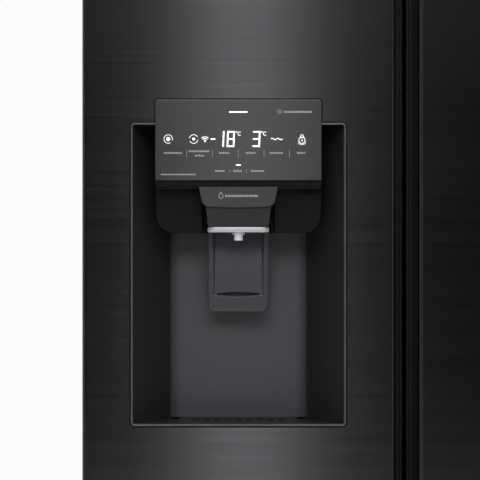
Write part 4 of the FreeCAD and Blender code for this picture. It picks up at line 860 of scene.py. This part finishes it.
def end_caps():
    """Dark caps over the top and bottom of both doors."""
    inset, thick = 0.3 * MM, 1.2 * MM
    for side, body in (("left", "left_door"), ("right", "right_door")):
        low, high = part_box(f"{side}_door_liner")
        skin_low, skin_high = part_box(f"{side}_door_skin")
        grip_low, grip_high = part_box(f"{side}_door_handle")
        x0, x1 = min(skin_low.x, grip_low.x), max(skin_high.x, grip_high.x)
        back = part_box(f"{side}_door_gasket")[0].y
        outline = rounded(x0 + inset, skin_low.y + inset, x1 - inset, back, 4 * MM)
        for name, z0, z1 in (("top", high.z, high.z + thick), ("foot", low.z - thick, low.z)):
            cap = prism(f"{side}_door_{name}_cap", outline, z0, z1, plane="xy", edge=0.5 * MM)
            dress(cap, "dark_plastic", body)


# ---------------------------------------------------------------- inside

def shelf_trims():
    """Satin metal strip along the front of each glass shelf."""
    tall, near, far = 12 * MM, 2.4 * MM, 0.1 * MM
    for number, (low, high) in enumerate(islands("shelf_frames"), 1):
        outline = rounded(low.x, high.z - tall, high.x, high.z, 1.6 * MM, steps=3)
        strip = prism(f"shelf_trim_{number}", outline, low.y - near, low.y - far, edge=0.5 * MM)
        dress(strip, "zinc_steel", "cabinet", material=MATERIALS["satin_trim"])


def add_lamps():
    """Frosted lamp covers in the roof of the fridge and on its air duct. The lamps are off, yet the
    covers glow faintly: a painted glow.
    """
    duct_low, duct_high = max(islands("air_ducts"), key=lambda box: box[1].z)
    top_shelf = islands("shelf_frames")[-1][0]
    roof = duct_high.z + 28 * MM
    y = top_shelf.y - 40 * MM
    half_long, half_wide, thick, sunk = 0.14, 0.035, 7 * MM, 0.2 * MM
    outline = rounded(-half_long, y - half_wide, half_long, y + half_wide, 12 * MM)
    roof_lamp = prism("roof_lamp", outline, roof - thick, roof - sunk, plane="xy", edge=2 * MM,
                      segments=3)
    dress(roof_lamp, "frost_plastic", "cabinet", material=MATERIALS["lamp"])
    half, end = 12 * MM, 0.10
    lamp = prism("duct_lamp", rounded(-half, duct_low.z + end, half, duct_high.z - end, 9 * MM),
                 duct_low.y - 2.5 * MM, duct_low.y - 0.1 * MM, edge=0.8 * MM)
    dress(lamp, "frost_plastic", "cabinet", material=MATERIALS["lamp"])


# ---------------------------------------------------------------- back and small parts

def screw_heads(name, places, face, rise):
    """Flat screw heads with a cross, on a wall that faces +Y."""
    radius, sunk, cross_rise, steps = 4.2 * MM, 0.2 * MM, 0.1 * MM, 20
    wide, thin = radius * 0.62, radius * 0.13
    bm = bmesh.new()
    for x, z in places:
        outline = [(x + radius * math.cos(2 * math.pi * i / steps),
                    z + radius * math.sin(2 * math.pi * i / steps)) for i in range(steps)]
        add_prism(bm, outline, face - sunk, face + rise)
        for half_x, half_z in ((wide, thin), (thin, wide)):
            add_prism(bm, rounded(x - half_x, z - half_z, x + half_x, z + half_z, 0.0),
                      face + rise, face + rise + cross_rise)
    return dress(soften(as_object(name, bm), 0.2 * MM), "zinc_steel", "cabinet")


def add_rear():
    """Back sheet with shallow pressed ribs, and its screws, all inside the cabinet's depth."""
    low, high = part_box("rear_panel")
    cover_low, cover_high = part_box("machine_cover")
    relief, lap = 0.45 * MM, 0.1 * MM
    face = high.y - relief
    plate = prism("rear_plate", rounded(low.x, low.z, high.x, high.z, 0.0), low.y, face)
    ribs = []
    rib_half, rib_end = 16 * MM, 0.14
    for x in (-0.27, -0.09, 0.09, 0.27):
        outline = rounded(x - rib_half, low.z + rib_end, x + rib_half, high.z - rib_end, 15.5 * MM)
        ribs.append(prism("rib", outline, face - lap, high.y - lap, edge=0.3 * MM))
    dress(joined("rear_panel_ribbed", [plate] + ribs), "galvanised", "cabinet", "rear_panel")

    edge, foot_edge, cover_edge = 12 * MM, 14 * MM, 8 * MM
    columns = [low.x + edge + i * (high.x - low.x - 2 * edge) / 4 for i in range(5)]
    places = [(x, z) for x in columns for z in (low.z + foot_edge, high.z - edge)]
    places += [(x, (low.z + high.z) / 2) for x in (columns[0], columns[-1])]
    screw_heads("rear_panel_screws", places, face, 0.2 * MM)
    places = [(x, z) for x in (cover_low.x + cover_edge, 0.0, cover_high.x - cover_edge)
              for z in (cover_low.z + cover_edge, cover_high.z - cover_edge)]
    screw_heads("machine_cover_screws", places, cover_high.y, 0.8 * MM)


# How far the edges of each node are rounded, in millimetres.
SOFT_EDGES = {
    "cabinet_shell": 0.35, "kick_plate": 0.8, "hinge_covers": 1.1, "drip_grille": 0.5,
    "dispenser_hood": 0.8, "ice_room_cover": 2.5, "ice_maker": 1.0,
    "left_crisper": 1.2, "right_crisper": 1.2, "ice_bin": 1.2,
    "upper_basket": 1.2, "lower_basket": 1.2, "left_door_bins": 1.2, "right_door_bins": 1.2,
    "mullion_flap": 2.0,
}


def round_edges():
    """Pieces whose shape is right get softly rounded edges."""
    slots = {entry["node"]: entry["material_slot"] for entry in frame["record"]["subparts"]}
    bodies = {node: body for body, group in frame["record"]["behaviour"]["bodies"].items()
              for node in group}
    for node, width in SOFT_EDGES.items():
        soft_copy(node, slots[node], bodies[node], width * MM)


# ---------------------------------------------------------------- stage

def add_stage():
    """Plain pale floor under the feet."""
    half, level = 5.0, cad_bounds[0][2]
    mesh = bpy.data.meshes.new("floor")
    mesh.from_pydata([(-half, -half, level), (half, -half, level), (half, half, level),
                      (-half, half, level)], [], [(0, 1, 2, 3)])
    floor = bpy.data.objects.new("floor", mesh)
    bpy.context.scene.collection.objects.link(floor)
    shader = Shader("floor", Roughness=0.8)
    tinted(shader, rgba(0.86), 0.02, shader.noise(3.0))
    mesh.materials.append(shader.material)


def add_world():
    """Pale surroundings for the camera. As a light they are dark above and pale below."""
    world = bpy.data.worlds.new("studio")
    bpy.context.scene.world = world
    world.use_nodes = True
    tree = world.node_tree
    shade = tree.nodes["Background"]
    direction = tree.nodes.new("ShaderNodeTexCoord").outputs["Generated"]
    split = tree.nodes.new("ShaderNodeSeparateXYZ")
    tree.links.new(direction, split.inputs["Vector"])
    ground = tree.nodes.new("ShaderNodeMapRange")
    for socket, value in (("From Min", -0.15), ("From Max", -0.27), ("To Min", 0.02),
                          ("To Max", 0.60)):
        ground.inputs[socket].default_value = value
    tree.links.new(split.outputs["Z"], ground.inputs["Value"])
    ray = tree.nodes.new("ShaderNodeLightPath")
    level = tree.nodes.new("ShaderNodeMix")
    tree.links.new(ray.outputs["Is Camera Ray"], level.inputs["Factor"])
    tree.links.new(ground.outputs["Result"], level.inputs["A"])
    level.inputs["B"].default_value = 0.97
    tree.links.new(level.outputs["Result"], shade.inputs["Strength"])
    shade.inputs["Color"].default_value = (1, 1, 1, 1)


def area_light(name, place, target, size, radiance):
    """A soft box of an even brightness, so its power follows its size."""
    lamp = bpy.data.lights.new(name, "AREA")
    lamp.shape = "RECTANGLE"
    lamp.size, lamp.size_y = size
    lamp.energy = radiance * math.pi * size[0] * size[1]
    light = bpy.data.objects.new(name, lamp)
    light.location = place
    light.rotation_euler = (Vector(target) - Vector(place)).to_track_quat("-Z", "Y").to_euler()
    bpy.context.scene.collection.objects.link(light)


def add_lights():
    """A slim upright strip for the steel's sheen, a high front box and soft boxes all round."""
    tap_x = dispenser_middle().x
    strip_x = tap_x + 0.017
    # Each row: name, place, the point it faces, width and height, and brightness.
    for row in (
            ("strip", (strip_x, -5.0, 1.6), (strip_x, 0, 1.6), (0.32, 3.4), 1.75),
            ("key", (tap_x, -3.8, 3.2), (tap_x, -0.3, 1.1), (3.0, 1.2), 7.0),
            ("left_side", (-4.2, 0.2, 1.5), (0, 0.0, 1.0), (3.0, 2.6), 0.9),
            ("right_side", (4.2, 0.2, 1.5), (0, 0.0, 1.0), (3.0, 2.6), 0.9),
            ("back_box", (0.8, 4.6, 2.2), (0, 0.3, 1.0), (3.0, 2.6), 1.6),
            ("ceiling", (0, 0, 5.6), (0, 0, 0), (14.0, 14.0), 1.05),
            ("left_sheen", (-4.4, -4.0, 1.7), (0, 0, 1.1), (1.1, 3.0), 0.8),
            ("right_sheen", (4.4, -4.0, 1.7), (0, 0, 1.1), (1.1, 3.0), 0.8)):
        area_light(*row)


def dispenser_middle():
    low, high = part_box("dispenser_trim")
    return (low + high) / 2


def add_camera():
    """Straight in front of the dispenser, level, from about two and a half metres."""
    shown_width, distance = 0.6187, 2.5
    right_of_middle, above_foot = 0.0021, 0.2404
    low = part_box("dispenser_trim")[0]
    camera = bpy.data.cameras.new("camera")
    camera.sensor_width = 36.0
    camera.lens = camera.sensor_width * distance / shown_width
    obj = bpy.data.objects.new("camera", camera)
    obj.location = (dispenser_middle().x + right_of_middle, low.y - distance, low.z + above_foot)
    obj.rotation_euler = (math.radians(90), 0, 0)
    bpy.context.scene.collection.objects.link(obj)
    bpy.context.scene.camera = obj
    bpy.context.scene.view_settings.view_transform = "Standard"


paint_nodes()
round_edges()
add_display()
add_trim()
add_back_panel()
add_hood_highlight_strip()
add_tab()
add_ring()
add_lever()
grip_ribs()
end_caps()
for gasket, owner in (("left_door_gasket", "left_door"), ("right_door_gasket", "right_door"),
                      ("upper_gasket", "upper_drawer"), ("lower_gasket", "lower_drawer")):
    soft_gasket(gasket, owner)
bin_rims()
shelf_trims()
add_lamps()
add_rear()
add_stage()
add_world()
add_lights()
add_camera()
